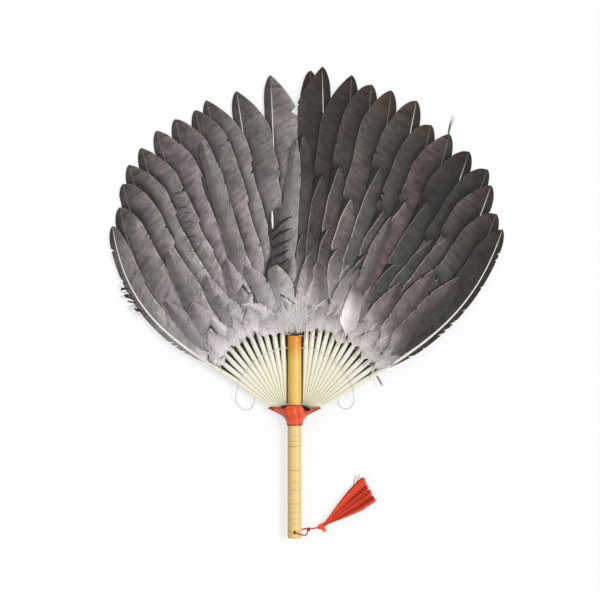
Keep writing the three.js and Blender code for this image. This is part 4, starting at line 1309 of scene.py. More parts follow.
@dataclass(frozen=True)
class Plume:
    """A short feather's vane: its run of distances, the line of its angle, its full widths, its
    dress and the length of its rounded tip."""

    start: float
    end: float
    base_angle: float
    bend: float
    broad: float
    narrow: float
    dress: Dress
    tip_length: float = 28.0

    def angle(self, distance: Array) -> Array:
        """Angle of the shaft, even with distance."""
        return self.base_angle + self.bend * (distance - self.start)

    def share(self, station: Array) -> Array:
        """Share of the vane's own run at a station of the feather."""
        return clamp01((station - self.dress.bare) / (1 - self.dress.bare))

    def width(self, station: Array, full: float, part: float) -> Array:
        """A width: it swells over a third of the vane, narrows evenly, and ends in an ogive that
        takes the given part of the tip's length."""
        share = self.share(station)
        tip = part * self.tip_length / ((self.end - self.start) * (1 - self.dress.bare))
        return 0.3 + full * rise(share, 0.36) * ogive((1 - share) / tip, 1.6, 0.92) * (1 - self.dress.taper * share)

    def surface(
        self, half: FanHalf, height: HeightOf, rng: np.random.Generator, rows: int, cols: int, ragged: float
    ) -> Surface:
        """Builds the dressed vane.

        Painted light falls from the broad edge inwards by the depth, and painted shade darkens the
        covered side, so that feathers side by side part from each other; a painted highlight lines
        the broad edge, and the pale base fades with distance.

        Args:
            half: the fan's half that it belongs to.
            height: the height of its sheet.
            rng: its own random numbers.
            rows: barbs along it.
            cols: steps across each side.
            ragged: the share of random loss at its edge.

        Returns:
            The closed vane with its colour values.
        """
        rule = Vane(
            start=self.start,
            end=self.end,
            middle=lambda d: half.spot(d, self.angle(d)),
            heading=lambda d: self.angle(d) + np.arctan(d * self.bend),
            height=height,
            broad=lambda s: self.width(s, self.broad, 1.35),
            narrow=lambda s: self.width(s, self.narrow, 0.4),
        )
        maker = FeatherMaker(half, rows=rows, cols=cols, lead=0.26, narrow_lead=0.2, camber=0.3, fringe=ragged)
        vane, grid = maker.vane(rule, rng, splits=(4, 3), depth=0.3)
        distance, angle = half.polar(grid["spots"])
        share, dress = self.share(grid["station"]), self.dress
        inside, offset, full = grid["inside"], grid["offset"], self.broad + self.narrow
        fade = half.cover_pale - half.cover_pale_loss * clamp01(angle / half.span)
        near = 0.97 * (1 - clamp01((distance - half.pale_start) / fade)) ** 1.4
        pale = np.maximum(near, dress.pale * (1 - 0.9 * smooth(0.4, 1.0, share)))
        # Painted highlight at the broad edge, painted light falling inwards, painted shade on the covered side.
        rim_highlight = np.where(offset < 0, bell(inside, 0.5), 0) * 0.55
        across = np.where(offset < 0, inside, self.broad + offset)
        light = dress.light * (1.16 - dress.depth * smooth(0, 0.8 * full, across))
        under = dress.depth * smooth(0.3, 0.9, across / full) * smooth(0.0, 0.3, share)
        vane.values = vane_values(dress.tone, light, pale, rim_highlight, under * (1 - 0.7 * near), 0.2 * smooth(0.7, 1, share))
        return vane


@dataclass(frozen=True)
class Cover:
    """One short cover feather, as in the CAD: the quill it lies on, and shares of tip, angle and
    width. Slim is how much of its width shows."""

    over: int
    tip: float
    angle: float
    width: float
    slim: float
    dress: Dress


LEFT_COVERS = (
    Cover(0, 0.79, -0.05, 0.5, 1.0, Dress(0.78, 0.15, 0.1, 0.2, 0.45, 0.3)),
    Cover(2, 0.386, 0.276, 0.6, 0.75, Dress(1.02, 0.6, 0.3)),
    Cover(3, 0.82, 0.403, 0.7, 0.62, Dress(0.84, 0.3, 0.0, 0.1, 0.1)),
    Cover(4, 0.475, 0.49, 0.68, 0.75, Dress(0.96, 0.7, 0.1)),
    Cover(6, 0.461, 0.696, 0.66, 0.75, Dress(0.94, 0.8, 0.1)),
    Cover(8, 0.58, 0.834, 0.7, 0.75, Dress(0.92, 0.5, 0.0)),
    Cover(10, 0.475, 1.09, 0.6, 0.7, Dress(0.86, 0.8, 0.0)),
)
RIGHT_COVERS = (
    Cover(0, 0.456, 0.038, 0.46, 0.8, Dress(1.3, 0.2, 0.3)),
    Cover(4, 0.451, 0.407, 0.6, 0.8, Dress(1.1, 0.3, 0.35, 0.0, 0.0, 0.3)),
    Cover(5, 0.62, 0.508, 0.5, 0.62, Dress(1.16, 0.6, 0.1)),
    Cover(8, 0.469, 0.767, 0.7, 0.7, Dress(1.16, 0.7, 0.1)),
    Cover(9, 0.361, 0.894, 0.6, 0.7, Dress(1.2, 0.8, 0.2)),
    Cover(10, 0.558, 0.89, 0.72, 0.7, Dress(1.08, 0.7, 0.05)),
    Cover(12, 0.598, 1.03, 0.66, 0.66, Dress(1.0, 0.6, 0.0)),
)


@dataclass
class CoverFeathers:
    """The short feathers over one half: those that stand for CAD nodes, and rows of smaller ones
    between them, whose vanes begin at the foot's distance or further out."""

    halves: Sequence[FanHalf]
    half: FanHalf
    covers: Sequence[Cover]
    writer: MeshWriter
    vane_material: bpy.types.Material
    shaft_material: bpy.types.Material
    wisp_material: bpy.types.Material
    rows: Sequence["TuftRow"]
    start: float = 87.0
    quill_length: float = 13.0
    step: float = 1.0
    shaft_radius: float = 0.45
    foot: float = 82.0
    tuft_lift: float = 2.2
    tuft_step: float = 0.7
    outline_loss: float = 0.06
    end_scatter: float = 11.0
    shadow_sheet_light: float = 0.16
    pale_feather_angle: float = 0.44
    pale_feather_room: float = 0.13
    bent_tip: int = 7

    def top(self, spots: Array) -> Array:
        """Height of the pile of both halves under a place of this half."""
        flips = (np.array([1.0 if other is self.half else -1.0, 1.0]) for other in self.halves)
        return np.maximum(*(other.pile(spots * flip) for other, flip in zip(self.halves, flips)))

    def height(self, index: int, spots: Array) -> Array:
        """Height of cover feather index: the pile, a lift, and a step for each cover below."""
        _, angle = self.half.polar(spots)
        order = (len(self.covers) - 1) * angle / self.half.span
        layer = index + 2 * (self.half.side is Side.RIGHT)
        return self.top(spots) + 1.2 + self.step * (layer - order)

    def build(self) -> None:
        """Builds every cover feather of the half, then the smaller ones."""
        for index in range(len(self.covers)):
            self.feather(index)
        self.tufts()

    def feather(self, index: int) -> bpy.types.Object:
        """Builds one cover feather: its vane, then its shaft down to the quill that it lies on."""
        half, cover = self.half, self.covers[index]
        rng = np.random.default_rng(900 + 40 * (half.side.value + 2) + index)
        length = half.longest * cover.tip
        start_angle = float(half.shaft_angle(cover.over, np.array(self.start)))
        start_angle -= 0.1 if cover.over == half.count - 1 else 0.0
        full = half.broad_width * cover.width * cover.slim
        plume = Plume(
            start=self.start,
            end=length,
            base_angle=start_angle,
            bend=(half.span * cover.angle - start_angle) / (length - self.start),
            broad=full,
            narrow=full * 0.45,
            dress=cover.dress,
        )
        vane = plume.surface(half, lambda spots: self.height(index, spots), rng, 110, 8, 0.03)
        distances = np.concatenate([[self.start - self.quill_length], np.linspace(self.start, length * 0.99, 30)])
        low = distances < self.start
        angles = np.where(low, half.shaft_angle(cover.over, distances), plume.angle(distances))
        middles = half.spot(distances, angles)
        share = clamp01((distances - self.start) / (length - self.start))
        radii = mix(self.shaft_radius, 0.15, share)
        seat = half.quill_radius + half.gap + self.shaft_radius
        heights = np.where(low, seat, self.height(index, middles) - 0.3 - 0.5 * radii)
        shaft = FeatherMaker(half).rod(0.72 + 0.2 * share, middles, heights, radii)
        name = f"{half.name}_cover_{index + 1}"
        materials = [self.vane_material, self.shaft_material]
        return self.writer.write(f"{name}_vane", [vane, shaft], materials, "down", "fan", [name])

    def tufts(self) -> bpy.types.Object:
        """Builds rows of small feathers, the outer row first, each row's outermost one on top, and
        what lies on them: loose barbs, and on each half its own special feathers.

        A tuft's height is the pile's, with a lift for its row and a slope across the row, so that
        its broad edge lies over its neighbour.
        """
        half, right = self.half, self.half.side is Side.RIGHT
        rng = np.random.default_rng(400 + half.side.value)
        parts = []
        for layer, row in enumerate(self.rows):
            pitch = half.span * 1.04 / (row.count - 0.5)
            for i in range(row.count):
                tip = pitch * (i + 0.25 + rng.uniform(-0.35, 0.35))
                if right and layer == 1 and abs(tip - self.pale_feather_angle) < self.pale_feather_room:
                    continue
                outline = row.reach * (1 - self.outline_loss * (tip / half.span) ** 2)
                end = outline + rng.uniform(-self.end_scatter, self.end_scatter)
                start = max(end - row.long * rng.uniform(0.85, 1.15), self.foot)
                base = tip * (1 + 0.3 * (1 - start / end)) + rng.uniform(-row.lean, row.lean)
                size = row.wide * rng.uniform(0.55, 1.3)
                plume = Plume(
                    start=start,
                    end=end,
                    base_angle=base,
                    bend=(tip - base) / (end - start),
                    broad=size,
                    narrow=size * 0.6,
                    dress=Dress(
                        light=row.light * rng.uniform(0.82, 1.12),
                        tone=rng.uniform(0.1, 1.0),
                        pale=rng.uniform(0.0, 0.2 + 0.2 * layer),
                    ),
                    tip_length=rng.uniform(9, 24),
                )

                lift = self.tuft_lift + self.tuft_step * layer

                def height(spots: Array, tip: float = tip, lift: float = lift, pitch: float = pitch) -> Array:
                    """Height of this tuft's sheet at the places."""
                    distance, angle = half.polar(spots)
                    above = np.maximum(lift + (tip - angle) / pitch, 0.3)
                    return self.top(spots) + above * smooth(self.foot, self.foot + 30, distance)

                parts.append(plume.surface(half, height, rng, 64, 5, 0.06))
                # Under half the left tufts lies a dark copy, painted shade, shifted outwards and set lower.
                if not right and rng.random() < 0.5:
                    dark = replace(plume.dress, light=self.shadow_sheet_light, pale=0.0)
                    bend = (tip - base + 0.015) / (end - start)
                    gap = replace(plume, end=end + 2.5, base_angle=base - 0.03, bend=bend, dress=dark)
                    parts.append(gap.surface(half, lambda spots, under=height: under(spots) - 0.3, rng, 48, 4, 0.5))
        parts.append(self.pale_feather(rng) if right else self.torn(rng))
        parts.append(self.wisps(rng))
        if not right:
            parts += self.slits(rng)
        materials = [self.vane_material, self.wisp_material, self.shaft_material]
        return self.writer.write(f"{half.name}_tufts", parts, materials, "down", "fan")

    def pale_feather(self, rng: np.random.Generator) -> Surface:
        """The pale feather beside the rod's top."""
        plume = Plume(84, 134, 0.5, -0.0026, 9, 9, Dress(light=1.4, tone=0.5, pale=1.0), tip_length=24)

        def height(spots: Array) -> Array:
            """Height over the pile, rising from the down."""
            return self.top(spots) + 4.6 * smooth(self.foot, 100, self.half.polar(spots)[0])

        return plume.surface(self.half, height, rng, 64, 5, 0.06)

    def wisps(self, rng: np.random.Generator, many: int = 10) -> Surface:
        """Loose grey barbs at the outer edge: some below the outermost quill, some at a long tip."""
        half, k = self.half, self.bent_tip
        t = np.linspace(0, 1, 9)[None, :]
        low = np.arange(many)[:, None] % 3 > 0
        at, tip = half.on_shaft(half.count - 1, np.array(80.0)), half.spot(half.lengths[k] * 0.995, half.tips[k])
        root = np.where(low, at, tip) + rng.uniform(-0.7, 0.7, (many, 2))
        aim = np.where(low, np.radians(140), half.tips[k] - 0.4) + np.radians(rng.normal(0, 7, (many, 1)))
        length = np.where(low, 12.0, 18.0) * (half.side is Side.RIGHT) + 2 * rng.uniform(0.6, 1.1, (many, 1))
        turn = aim + rng.uniform(0.1, 0.8, (many, 1)) * t
        move = forwards(turn) * (length / 8)[..., None]
        spots = root[:, None, :] + np.cumsum(move, axis=1) - move
        heights = np.where(low, -1.5, half.layer(k, spots) - 0.2)
        lines = half.to_fan(spots, heights)
        return tubes(lines, 0.5 * (1 - 0.85 * t), 4, material=1, tone=np.where(low, 0.0, 0.5))

    def torn(self, rng: np.random.Generator, many: int = 14) -> Surface:
        """Dark gaps and loose curled barbs, by turns, where the outermost narrow vane is torn."""
        half, last = self.half, self.half.count - 1
        t = np.linspace(0, 1, 10)[None, :]
        dark = np.arange(many)[:, None] % 3 == 0
        along = 168 + rng.uniform(0, 27, (many, 1)) + 0 * t
        heading = half.heading(last, along)
        out = 2.5 + np.where(dark, 7.0, 10.0) * rng.uniform(0.7, 1.1, (many, 1)) * np.sin(0.5 * np.pi * t)
        curl = rng.uniform(3, 14, (many, 1)) * t - rng.uniform(0, 6, (many, 1)) * t**3
        spots = half.on_shaft(last, along) + outwards(heading) * out[..., None] + forwards(heading) * curl[..., None]
        radii = np.where(dark, 0.2 + rng.uniform(0.5, 1.5, (many, 1)) * np.sin(np.pi * t), 0.3 * (1 - 0.6 * t))
        lines = half.to_fan(spots, half.layer(last, spots) + 0.5)
        return tubes(lines, radii, 5, material=1, tone=np.where(dark, 1.0, 0.1))

    def over(self, spots: Array, lift: float) -> Array:
        """Places of the half's own plane with the height of its top feathers at the seam."""
        return self.half.to_fan(spots, self.over_height(spots) + lift)

    def over_height(self, spots: Array) -> Array:
        """Height that clears the first cover feather and the pile at the seam."""
        return np.maximum(self.height(0, spots), self.top(spots) + 0.8)

    def slits(self, rng: np.random.Generator) -> list[Surface]:
        """The split vane at the seam: a dark plume, dark tubes of painted shade in the gaps that slant
        up to the seam, a bare white shaft and a dark wedge of painted shade; and the lined patch
        further out, with its dark ribs."""
        t = np.linspace(0, 1, 12)[None, :]
        plume = Plume(116, 200, 0.035, 0.0, 11, 11, Dress(light=0.36, tone=0.3, pale=0.0))
        dark = plume.surface(self.half, lambda spots: self.over_height(spots) + 0.1, rng, 90, 5, 0.3)
        i = np.arange(7)[:, None]
        x = 21.4 - 0.3 * i - (19.5 - 1.2 * i) * t
        y = 169 - 8.4 * i + (15 - 2.0 * i) * t**0.8 + 1.2 * np.sin(3 * t + i)
        # Dark tubes of painted shade in the split's gaps.
        gaps = tubes(self.over(stack(x, y), 0.35), 0.25 + 1.15 * np.sin(np.pi * t**0.7), 5, material=1, tone=1.0)
        line = stack(21.6 - 0.6 * t, 189 - 17 * t)
        bare = tubes(self.over(line, 0.2), 1.2 * (1 - 0.5 * np.abs(2 * t - 1)), 8, material=2, run=0.3)
        line = stack(31 - 8.5 * t, 119 + 27 * t)
        # A dark wedge of painted shade.
        wedge = tubes(self.over(line, 0.2), 0.3 + 1.9 * t * (1 - t**6), 6, material=1, tone=1.0)
        i = np.arange(13)[:, None]
        x = mix(112, 95, i / 12) + 15 * (0.5 - t)
        y = mix(208, 152, i / 12) + 3.2 * np.sin(np.pi * t) * np.where(i % 3 == 0, -0.4, 1.0) + 3 * (t - 0.5)
        spots = stack(x, y)
        lines = self.half.to_fan(spots, self.top(spots) + 0.4)
        ribs = tubes(lines, 0.32 * np.sin(np.pi * clamp01(t + 0.05)), 4, material=1, tone=0.8)
        return [dark, gaps, bare, wedge, ribs]


@dataclass(frozen=True)
class TuftRow:
    """One row of small feathers: how far out it ends, how many it has, their width and length,
    how far they lean at random, and their brightness."""

    reach: float
    count: int
    wide: float
    long: float
    lean: float
    light: float


LEFT_ROWS = (TuftRow(140.0, 5, 12.0, 58.0, 0.16, 1.0), TuftRow(116.0, 7, 11.0, 42.0, 0.28, 1.08))
RIGHT_ROWS = (TuftRow(150.0, 4, 9.0, 66.0, 0.04, 1.15), TuftRow(120.0, 6, 9.0, 42.0, 0.1, 1.35))


def downy(full: float, foot: float, swell: float, run: float = 0.8, ahead: float = 0.1) -> Callable[[Array], Array]:
    """The width rule of a downy vane, by station s: full (foot + swell sin(pi (run s + ahead))),
    closed over its last third.

    Args:
        full: its scale.
        foot: its share at the foot.
        swell: the share that the sine adds.
        run: how much of the sine it runs through.
        ahead: how far into the sine it starts.

    Returns:
        A function from station to width.
    """
    return lambda s: full * (foot + swell * np.sin(np.pi * clamp01(s * run + ahead))) * clamp01((1 - s) / 0.3 + 0.05)


@dataclass
class Down:
    """Loose down where the vanes begin: short ragged vanes and thin curved strands over the quills."""

    halves: Sequence[FanHalf]
    writer: MeshWriter
    material: bpy.types.Material
    vane_materials: Sequence[bpy.types.Material]
    per_feather: int = 14
    start: float = 75.0

    def low(self, half: FanHalf, spots: Array) -> Array:
        """Height that clears the quills and, further out, the pile of both halves."""
        other = self.halves[1] if half is self.halves[0] else self.halves[0]
        pile = np.maximum(half.pile(spots), other.pile(spots * np.array([-1.0, 1.0])))
        distance = half.polar(spots)[0]
        return np.maximum(half.quill_radius + 0.3, pile * smooth(74, 90, distance) + 5.2 * smooth(82, 114, distance))

    def fluff(self, half: FanHalf, k: int, rng: np.random.Generator) -> Surface:
        """A short downy vane on quill k: ragged slanting barbs, as wide as the quills' pitch."""
        last = k == half.count - 1
        end = 88 + 24 * rng.random()
        room = float(half.pitch(min(k, half.count - 2), np.array(86.0))) * rng.uniform(0.75, 1.25)
        turn = -0.3 if last else rng.uniform(-0.16, 0.16)
        lift = 0.25 + 0.12 * (k % 3)
        rule = Vane(
            start=self.start + (8 if last else 7 * rng.random()),
            end=end,
            middle=lambda d: half.spot(d, half.shaft_angle(k, d) + turn * (d - self.start) / 90),
            heading=lambda d: half.heading(k, d),
            height=lambda spots: self.low(half, spots) + lift,
            broad=downy(room, 0.5, 0.5),
            narrow=downy(0.5 if last else room, 0.45, 0.4),
        )
        maker = FeatherMaker(half, rows=150, cols=4, lead=0.32, narrow_lead=0.3, camber=0.5, fringe=0.3)
        surface, grid = maker.vane(rule, rng, splits=(6, 6), depth=0.4)
        station = grid["station"]
        light = 1.14 - 0.14 * grid["share"] - 0.1 * station + 0.04 * np.sin(37 * station + k)
        surface.values = vane_values(0.5, light, 0.97 - 0.6 * smooth(0.25, 0.9, station), 0.0)
        surface.material = 1
        return surface

    def crown(self, rng: np.random.Generator, many: int = 260, count: int = 9) -> Surface:
        """The tuft between the halves over the rod's sawn end: strands that sweep up and apart."""
        t = np.linspace(0, 1, count)[None, :]
        x = rng.uniform(-10, 10, (many, 1))
        y = rng.uniform(70.5, 88, (many, 1))
        aim = np.radians(rng.normal(0, 34, (many, 1))) + 0.5 * np.sin(2.2 * t + rng.uniform(0, 6, (many, 1)))
        step = rng.uniform(9, 24, (many, 1)) / (count - 1)
        spots = stack(x + np.cumsum(np.sin(aim) * step, axis=1), y + np.cumsum(np.cos(aim) * step, axis=1))
        heights = self.low(self.halves[1], spots) + rng.uniform(0.2, 1.4, (many, 1)) + 1.2 * np.sin(np.pi * t)
        lines = np.concatenate([spots, heights[..., None]], axis=-1)
        return tubes(lines, 0.24 * (1 - 0.7 * t), 4, tone=clamp01(0.8 * rng.random((many, 1))))

    def saddle(self, rng: np.random.Generator, start: float = 70.8, end: float = 100.0) -> list[Surface]:
        """Four downy vanes side by side across the gap between the halves, over the rod's end."""
        half, width = self.halves[1], downy(4.6, 0.5, 0.5, 1.0, 0.0)
        parts = []
        for x, lean, lift in ((-6.5, -0.16, 0.3), (6.5, 0.16, 0.45), (-2.2, -0.05, 0.6), (2.6, 0.07, 0.75)):
            rule = Vane(
                start=start,
                end=end,
                middle=lambda d, x=x, lean=lean: stack(x + (d - start) * math.sin(lean), d),
                heading=lambda d, lean=lean: np.full_like(d, lean),
                height=lambda spots, lift=lift: self.low(half, spots) + lift,
                broad=width,
                narrow=width,
            )
            maker = FeatherMaker(half, rows=70, cols=5, lead=0.3, narrow_lead=0.3, camber=0.5, fringe=0.4)
            surface, grid = maker.vane(rule, rng, splits=(6, 6), depth=0.5)
            light = 1.1 - 0.15 * grid["share"] - 0.25 * (1 - smooth(0, 0.12, grid["station"]))
            surface.values = vane_values(0.7, light, 0.95, 0.0)
            surface.material = 1
            parts.append(surface)
        return parts

    def strands(self, half: FanHalf, k: int, rng: np.random.Generator, count: int = 9) -> Surface:
        """Strands that leave shaft k at both sides and sweep towards the tips.

        A strand's place is its root plus its length times the share t along a heading that turns
        back towards the shaft's, at a height of the pile plus a low arch.
        """
        many = self.per_feather
        root = rng.uniform(76, 104, (many, 1))
        sign = np.where(rng.random((many, 1)) < (1.0 if k == half.count - 1 else 0.5), -1.0, 1.0)
        length = rng.uniform(6, 15, (many, 1))
        lean = sign * np.radians(rng.uniform(12, 58, (many, 1)))
        t = np.linspace(0, 1, count)[None, :]
        heading = half.heading(k, root) + lean * (1 - 0.6 * t)
        move = forwards(heading) * (length / (count - 1))[..., None]
        spots = half.on_shaft(k, root) + np.cumsum(move, axis=1) - move
        low = self.low(half, spots) + 0.5
        arch = rng.uniform(0.2, 2.0, (many, 1)) * np.sin(np.pi * t) + rng.uniform(0.1, 1.4, (many, 1))
        tone = clamp01(rng.random((many, 1)) * 0.7 + 0.4 * smooth(85, 125, root))
        return tubes(half.to_fan(spots, low + arch), 0.13 * (1 - 0.75 * t), 4, tone=tone)

    def build(self) -> None:
        """Builds one piece of down for each half."""
        for half, vane in zip(self.halves, self.vane_materials):
            rng = np.random.default_rng(31 + half.side.value)
            parts = [self.strands(half, k, rng) for k in range(half.count)]
            parts += [self.fluff(half, k, rng) for k in range(half.count)]
            if half.side is Side.RIGHT:
                parts += [self.crown(rng), *self.saddle(rng)]
            self.writer.write(f"{half.name}_down", parts, [self.material, vane], "down", "fan")


# Rod, collar, threads and tassel


@dataclass
class BambooRod:
    """The rod: a grip with node rings, a plain upper part and a sawn top, with the cord's hole."""

    writer: MeshWriter
    material: bpy.types.Material
    shares: Sequence[float] = (0.094, 0.138, 0.182, 0.395, 0.501, 0.572, 0.696, 0.772, 0.825, 0.868, 0.93)
    depths: Sequence[float] = (0.5, 0.7, 1.0, 1.0, 0.5, 0.6, 0.8, 0.7, 0.6, 0.7, 0.8)
    rounding: float = 1.4
    groove: float = 0.3
    ridge: float = 0.22
    sides: int = 72
    hole_y: float = -119.0
    hole_radius: float = 1.5

    def build(self) -> bpy.types.Object:
        """Radius over y and turn: the rod's own, less a rounding at the butt, with a ridge and a
        groove at each node that tilts a little round the rod."""
        ys = np.concatenate(
            [
                BUTT_Y + self.rounding * (1 - np.cos(np.linspace(0, np.pi / 2, 8)))[:-1],
                np.linspace(BUTT_Y + self.rounding, COLLAR_BOTTOM_Y + 4, 300),
                np.linspace(COLLAR_BOTTOM_Y + 8, ROD_TOP_Y - 0.4, 24),
                [ROD_TOP_Y - 0.15, ROD_TOP_Y],
            ]
        )[:, None]
        turn = ring_turns(self.sides)[None, :]
        low = clamp01((ys - BUTT_Y) / self.rounding)
        radius = ROD_RADIUS - self.rounding * (1 - np.sqrt(1 - (1 - low) ** 2)) + 0 * turn
        rings = np.zeros_like(radius)
        for share, depth in zip(self.shares, self.depths):
            middle = COLLAR_BOTTOM_Y + (BUTT_Y - COLLAR_BOTTOM_Y) * share
            at = ys - middle - 0.4 * np.sin(turn + 9 * share) - 0.15 * np.sin(3 * turn + 31 * share)
            radius += self.ridge * depth * bell(at - 0.8, 0.7)
            radius -= self.groove * depth * bell(at, 0.35)
            rings = np.maximum(rings, depth * bell(at, 0.42))
        radius += 0.05 * np.sin(5 * turn) * np.sin(ys / 31)
        radius = np.where(ys > ROD_TOP_Y - 0.2, radius - 0.25 * (ys - ROD_TOP_Y + 0.2) / 0.2, radius)
        surface = closed(stack(radius * np.cos(turn), ys, radius * np.sin(turn)))
        upper = smooth(COLLAR_BOTTOM_Y - 2, COLLAR_BOTTOM_Y + 4, ys)
        blotch = 0.78 + 0.22 * np.sin(3 * turn + 0.3 * ys) * np.sin(0.5 * ys + turn)
        top = smooth(ROD_TOP_Y - 26, ROD_TOP_Y - 5, ys) * blotch
        # Painted shade: the rod's left side and right edge darken towards the lines' brown, and the node lines fade
        # on the lit right side as painted light.
        side_shade = 0.55 * clamp01(-np.cos(turn)) ** 2 + 0.25 * clamp01(np.cos(turn)) ** 8
        rings = np.maximum(rings * (0.6 - 0.3 * np.cos(turn)), side_shade * (ys < ROD_TOP_Y - 1))
        surface.values = {"dress": stack(rings, upper, top, 1.0).reshape(-1, 4)}
        rod = self.writer.write("bamboo_rod", [surface], [self.material], "bamboo", "fan", ["bamboo_handle"])
        self.drill(rod)
        return rod

    def drill(self, rod: bpy.types.Object) -> None:
        """Cuts the cord's round hole through the butt."""
        line = np.array([[[0, self.hole_y, -9.0], [0, self.hole_y, 9.0]]])
        cutter = tubes(line, self.hole_radius, 24, up=(0, 1, 0))
        mesh = bpy.data.meshes.new("cord_drill")
        mesh.from_pydata(self.writer.place(cutter.points).tolist(), [], [f.tolist() for b in cutter.faces for f in b])
        tool = bpy.data.objects.new("cord_drill", mesh)
        bpy.context.scene.collection.objects.link(tool)
        cut = rod.modifiers.new("cord hole", "BOOLEAN")
        cut.operation, cut.solver, cut.object = "DIFFERENCE", "EXACT", tool
        bpy.context.view_layer.update()
        done = bpy.data.meshes.new_from_object(rod.evaluated_get(bpy.context.evaluated_depsgraph_get()))
        rod.modifiers.clear()
        rod.data = done
        bpy.data.objects.remove(tool)


@dataclass
class Collar:
    """The flared collar: round at its foot, drawn out at the mouth to two pointed horns."""

    writer: MeshWriter
    material: bpy.types.Material
    levels: int = 44
    sides: int = 144
    wall: float = 0.8
    ring_radius: float = 7.7
    horn_reach: float = 25.6
    half_depth: float = 8.7
    horn_y: float = -0.4
    rise: float = 3.6
    power: float = 2.1
    left_dip: float = 2.6
    right_dip: float = 5.6
    flare_shares: Sequence[float] = (0, 0.2, 0.4, 0.58, 0.76, 0.9, 1)
    flares: Sequence[float] = (0, 0.02, 0.1, 0.26, 0.55, 0.82, 1)
    dent_x: float = 10.5
    dent_depth: float = 0.7
    crease_depth: float = 0.35

    def rings(self, inset: float) -> Array:
        """Points by level and turn: half width and half depth blend from the foot's radius to the
        mouth's, and the depth goes with a power of the sine, so that the mouth has horns."""
        share = np.linspace(0, 1, self.levels)[:, None]
        flare = np.interp(share, self.flare_shares, self.flares)
        turn = ring_turns(self.sides)[None, :]
        sine = np.sin(turn)
        wide = mix(self.ring_radius, self.horn_reach, flare) - inset
        deep = mix(self.ring_radius, self.half_depth, share) - inset
        depth = np.sign(sine) * np.abs(sine) ** mix(1.0, self.power, flare)
        y = mix(COLLAR_BOTTOM_Y, self.horn_y, share) + self.rise * share**2 * np.abs(sine)
        rod_share = (ROD_RADIUS + 0.3) / self.horn_reach
        from_horn = np.minimum((1 - np.abs(np.cos(turn))) / (1 - rod_share), 1)
        dip = np.where(np.cos(turn) < 0, self.left_dip, self.right_dip) * np.sin(np.pi * from_horn**2.2)
        y = y - np.where(sine > 0, dip, 0) * share**2
        across = wide * np.cos(turn)
        front = clamp01(sine)
        dent = self.dent_depth * bell(across - self.dent_x, 1.4) * share * front
        crease = self.crease_depth * np.sin(0.9 * across + 3.2 * share) * np.sin(np.pi * share) * front
        crease = crease + 0.2 * np.sin(2.3 * across - 7 * share + 1.0) * smooth(0.1, 0.6, share) * front
        return stack(across, y, deep * depth - dent + crease)

    def build(self) -> bpy.types.Object:
        """Skins the outer and inner walls and joins them at the foot and at the lip."""
        outer, inner = self.rings(0.0), self.rings(self.wall)
        sides, levels = self.sides, self.levels
        points = np.concatenate([outer, inner[::-1]])
        faces = ring_grid(2 * levels, sides)
        last = (2 * levels - 1) * sides
        j = np.arange(sides)
        k = (j + 1) % sides
        foot = np.stack([j + last, k + last, k, j], axis=-1)
        surface = Surface(points.reshape(-1, 3), [faces, foot])
        share = np.linspace(0, 1, levels)[:, None]
        across, front = outer[..., 0], clamp01(outer[..., 2] / self.half_depth)
        # Painted shade: darker at the lip and the foot, along the fold line, on the sides that turn from the light,
        # on the left side that the light misses, and over the whole inner wall.
        fold_shade = 0.7 * bell(across - self.dent_x - 0.7, 0.45) * smooth(0.3, 0.6, share)
        edge = np.maximum(0.85 * bell(1 - share, 0.05), 0.85 * bell(share, 0.08))
        deep = 0.22 * (1 - smooth(-8, 1, across)) * np.sin(np.pi * share)
        worn = np.maximum(np.maximum(edge, fold_shade), np.maximum(0.5 * (1 - smooth(0.1, 0.5, front)), deep))
        inside = np.maximum(worn[::-1], 0.75)
        surface.values = {"worn": np.concatenate([worn, inside]).ravel()}
        surface.outward()
        return self.writer.write("collar_skin", [surface], [self.material], "collar", "fan", ["flared_collar"])


LEFT_LOOP = (
    (-55.36, 17.26, 0), (-55.75, 16, -0.1), (-56.4, 13.6, -1), (-56.8, 10.6, -3), (-56.5, 7.4, -5.6),
    (-55.4, 4.2, -7.4), (-53.2, 1.2, -8.1), (-50.4, -1.1, -8.15), (-47.4, -2.3, -8.15), (-44.4, -2, -8.15),
    (-41.8, -0.3, -8), (-40, 2.2, -7.2), (-39, 4.8, -5.2), (-38.5, 7.4, -2.6), (-38.3, 9.2, -0.9),
    (-38.25, 10.4, -0.2),
)
RIGHT_LOOP = (
    (56.6, 12.65, 0), (56.95, 11.4, -0.1), (57.3, 9.2, -1), (57.3, 6.6, -3), (56.6, 3.8, -5.6),
    (55.1, 1.3, -7.4), (52.8, -0.5, -8.1), (50, -1.3, -8.15), (47.2, -0.9, -8.15), (44.8, 0.5, -8),
    (43.1, 2.6, -7.2), (42.1, 4.8, -5.2), (41.6, 6.8, -2.6), (41.4, 8.2, -0.9), (41.35, 8.9, -0.2),
)
TASSEL_CORD = (
    (22.3, -115.3, -5.2), (19.4, -115.9, -5.3), (16.4, -116.3, -5), (13.6, -116.6, -4.5), (12.4, -118.6, -1.6),
    (11.5, -120.7, 2.4), (10.7, -121.5, 5.4), (9, -121.5, 7.3), (6.2, -120.7, 7.95), (3, -119.7, 8),
    (1, -119.15, 7.5), (0, -119, 5.8), (0, -119, 0), (0, -119, -5.8), (1, -118.9, -7.35),
    (3.2, -118.3, -7.75), (6.5, -117.3, -7.75), (9.6, -116.7, -7.6), (11.2, -116.4, -7),
)


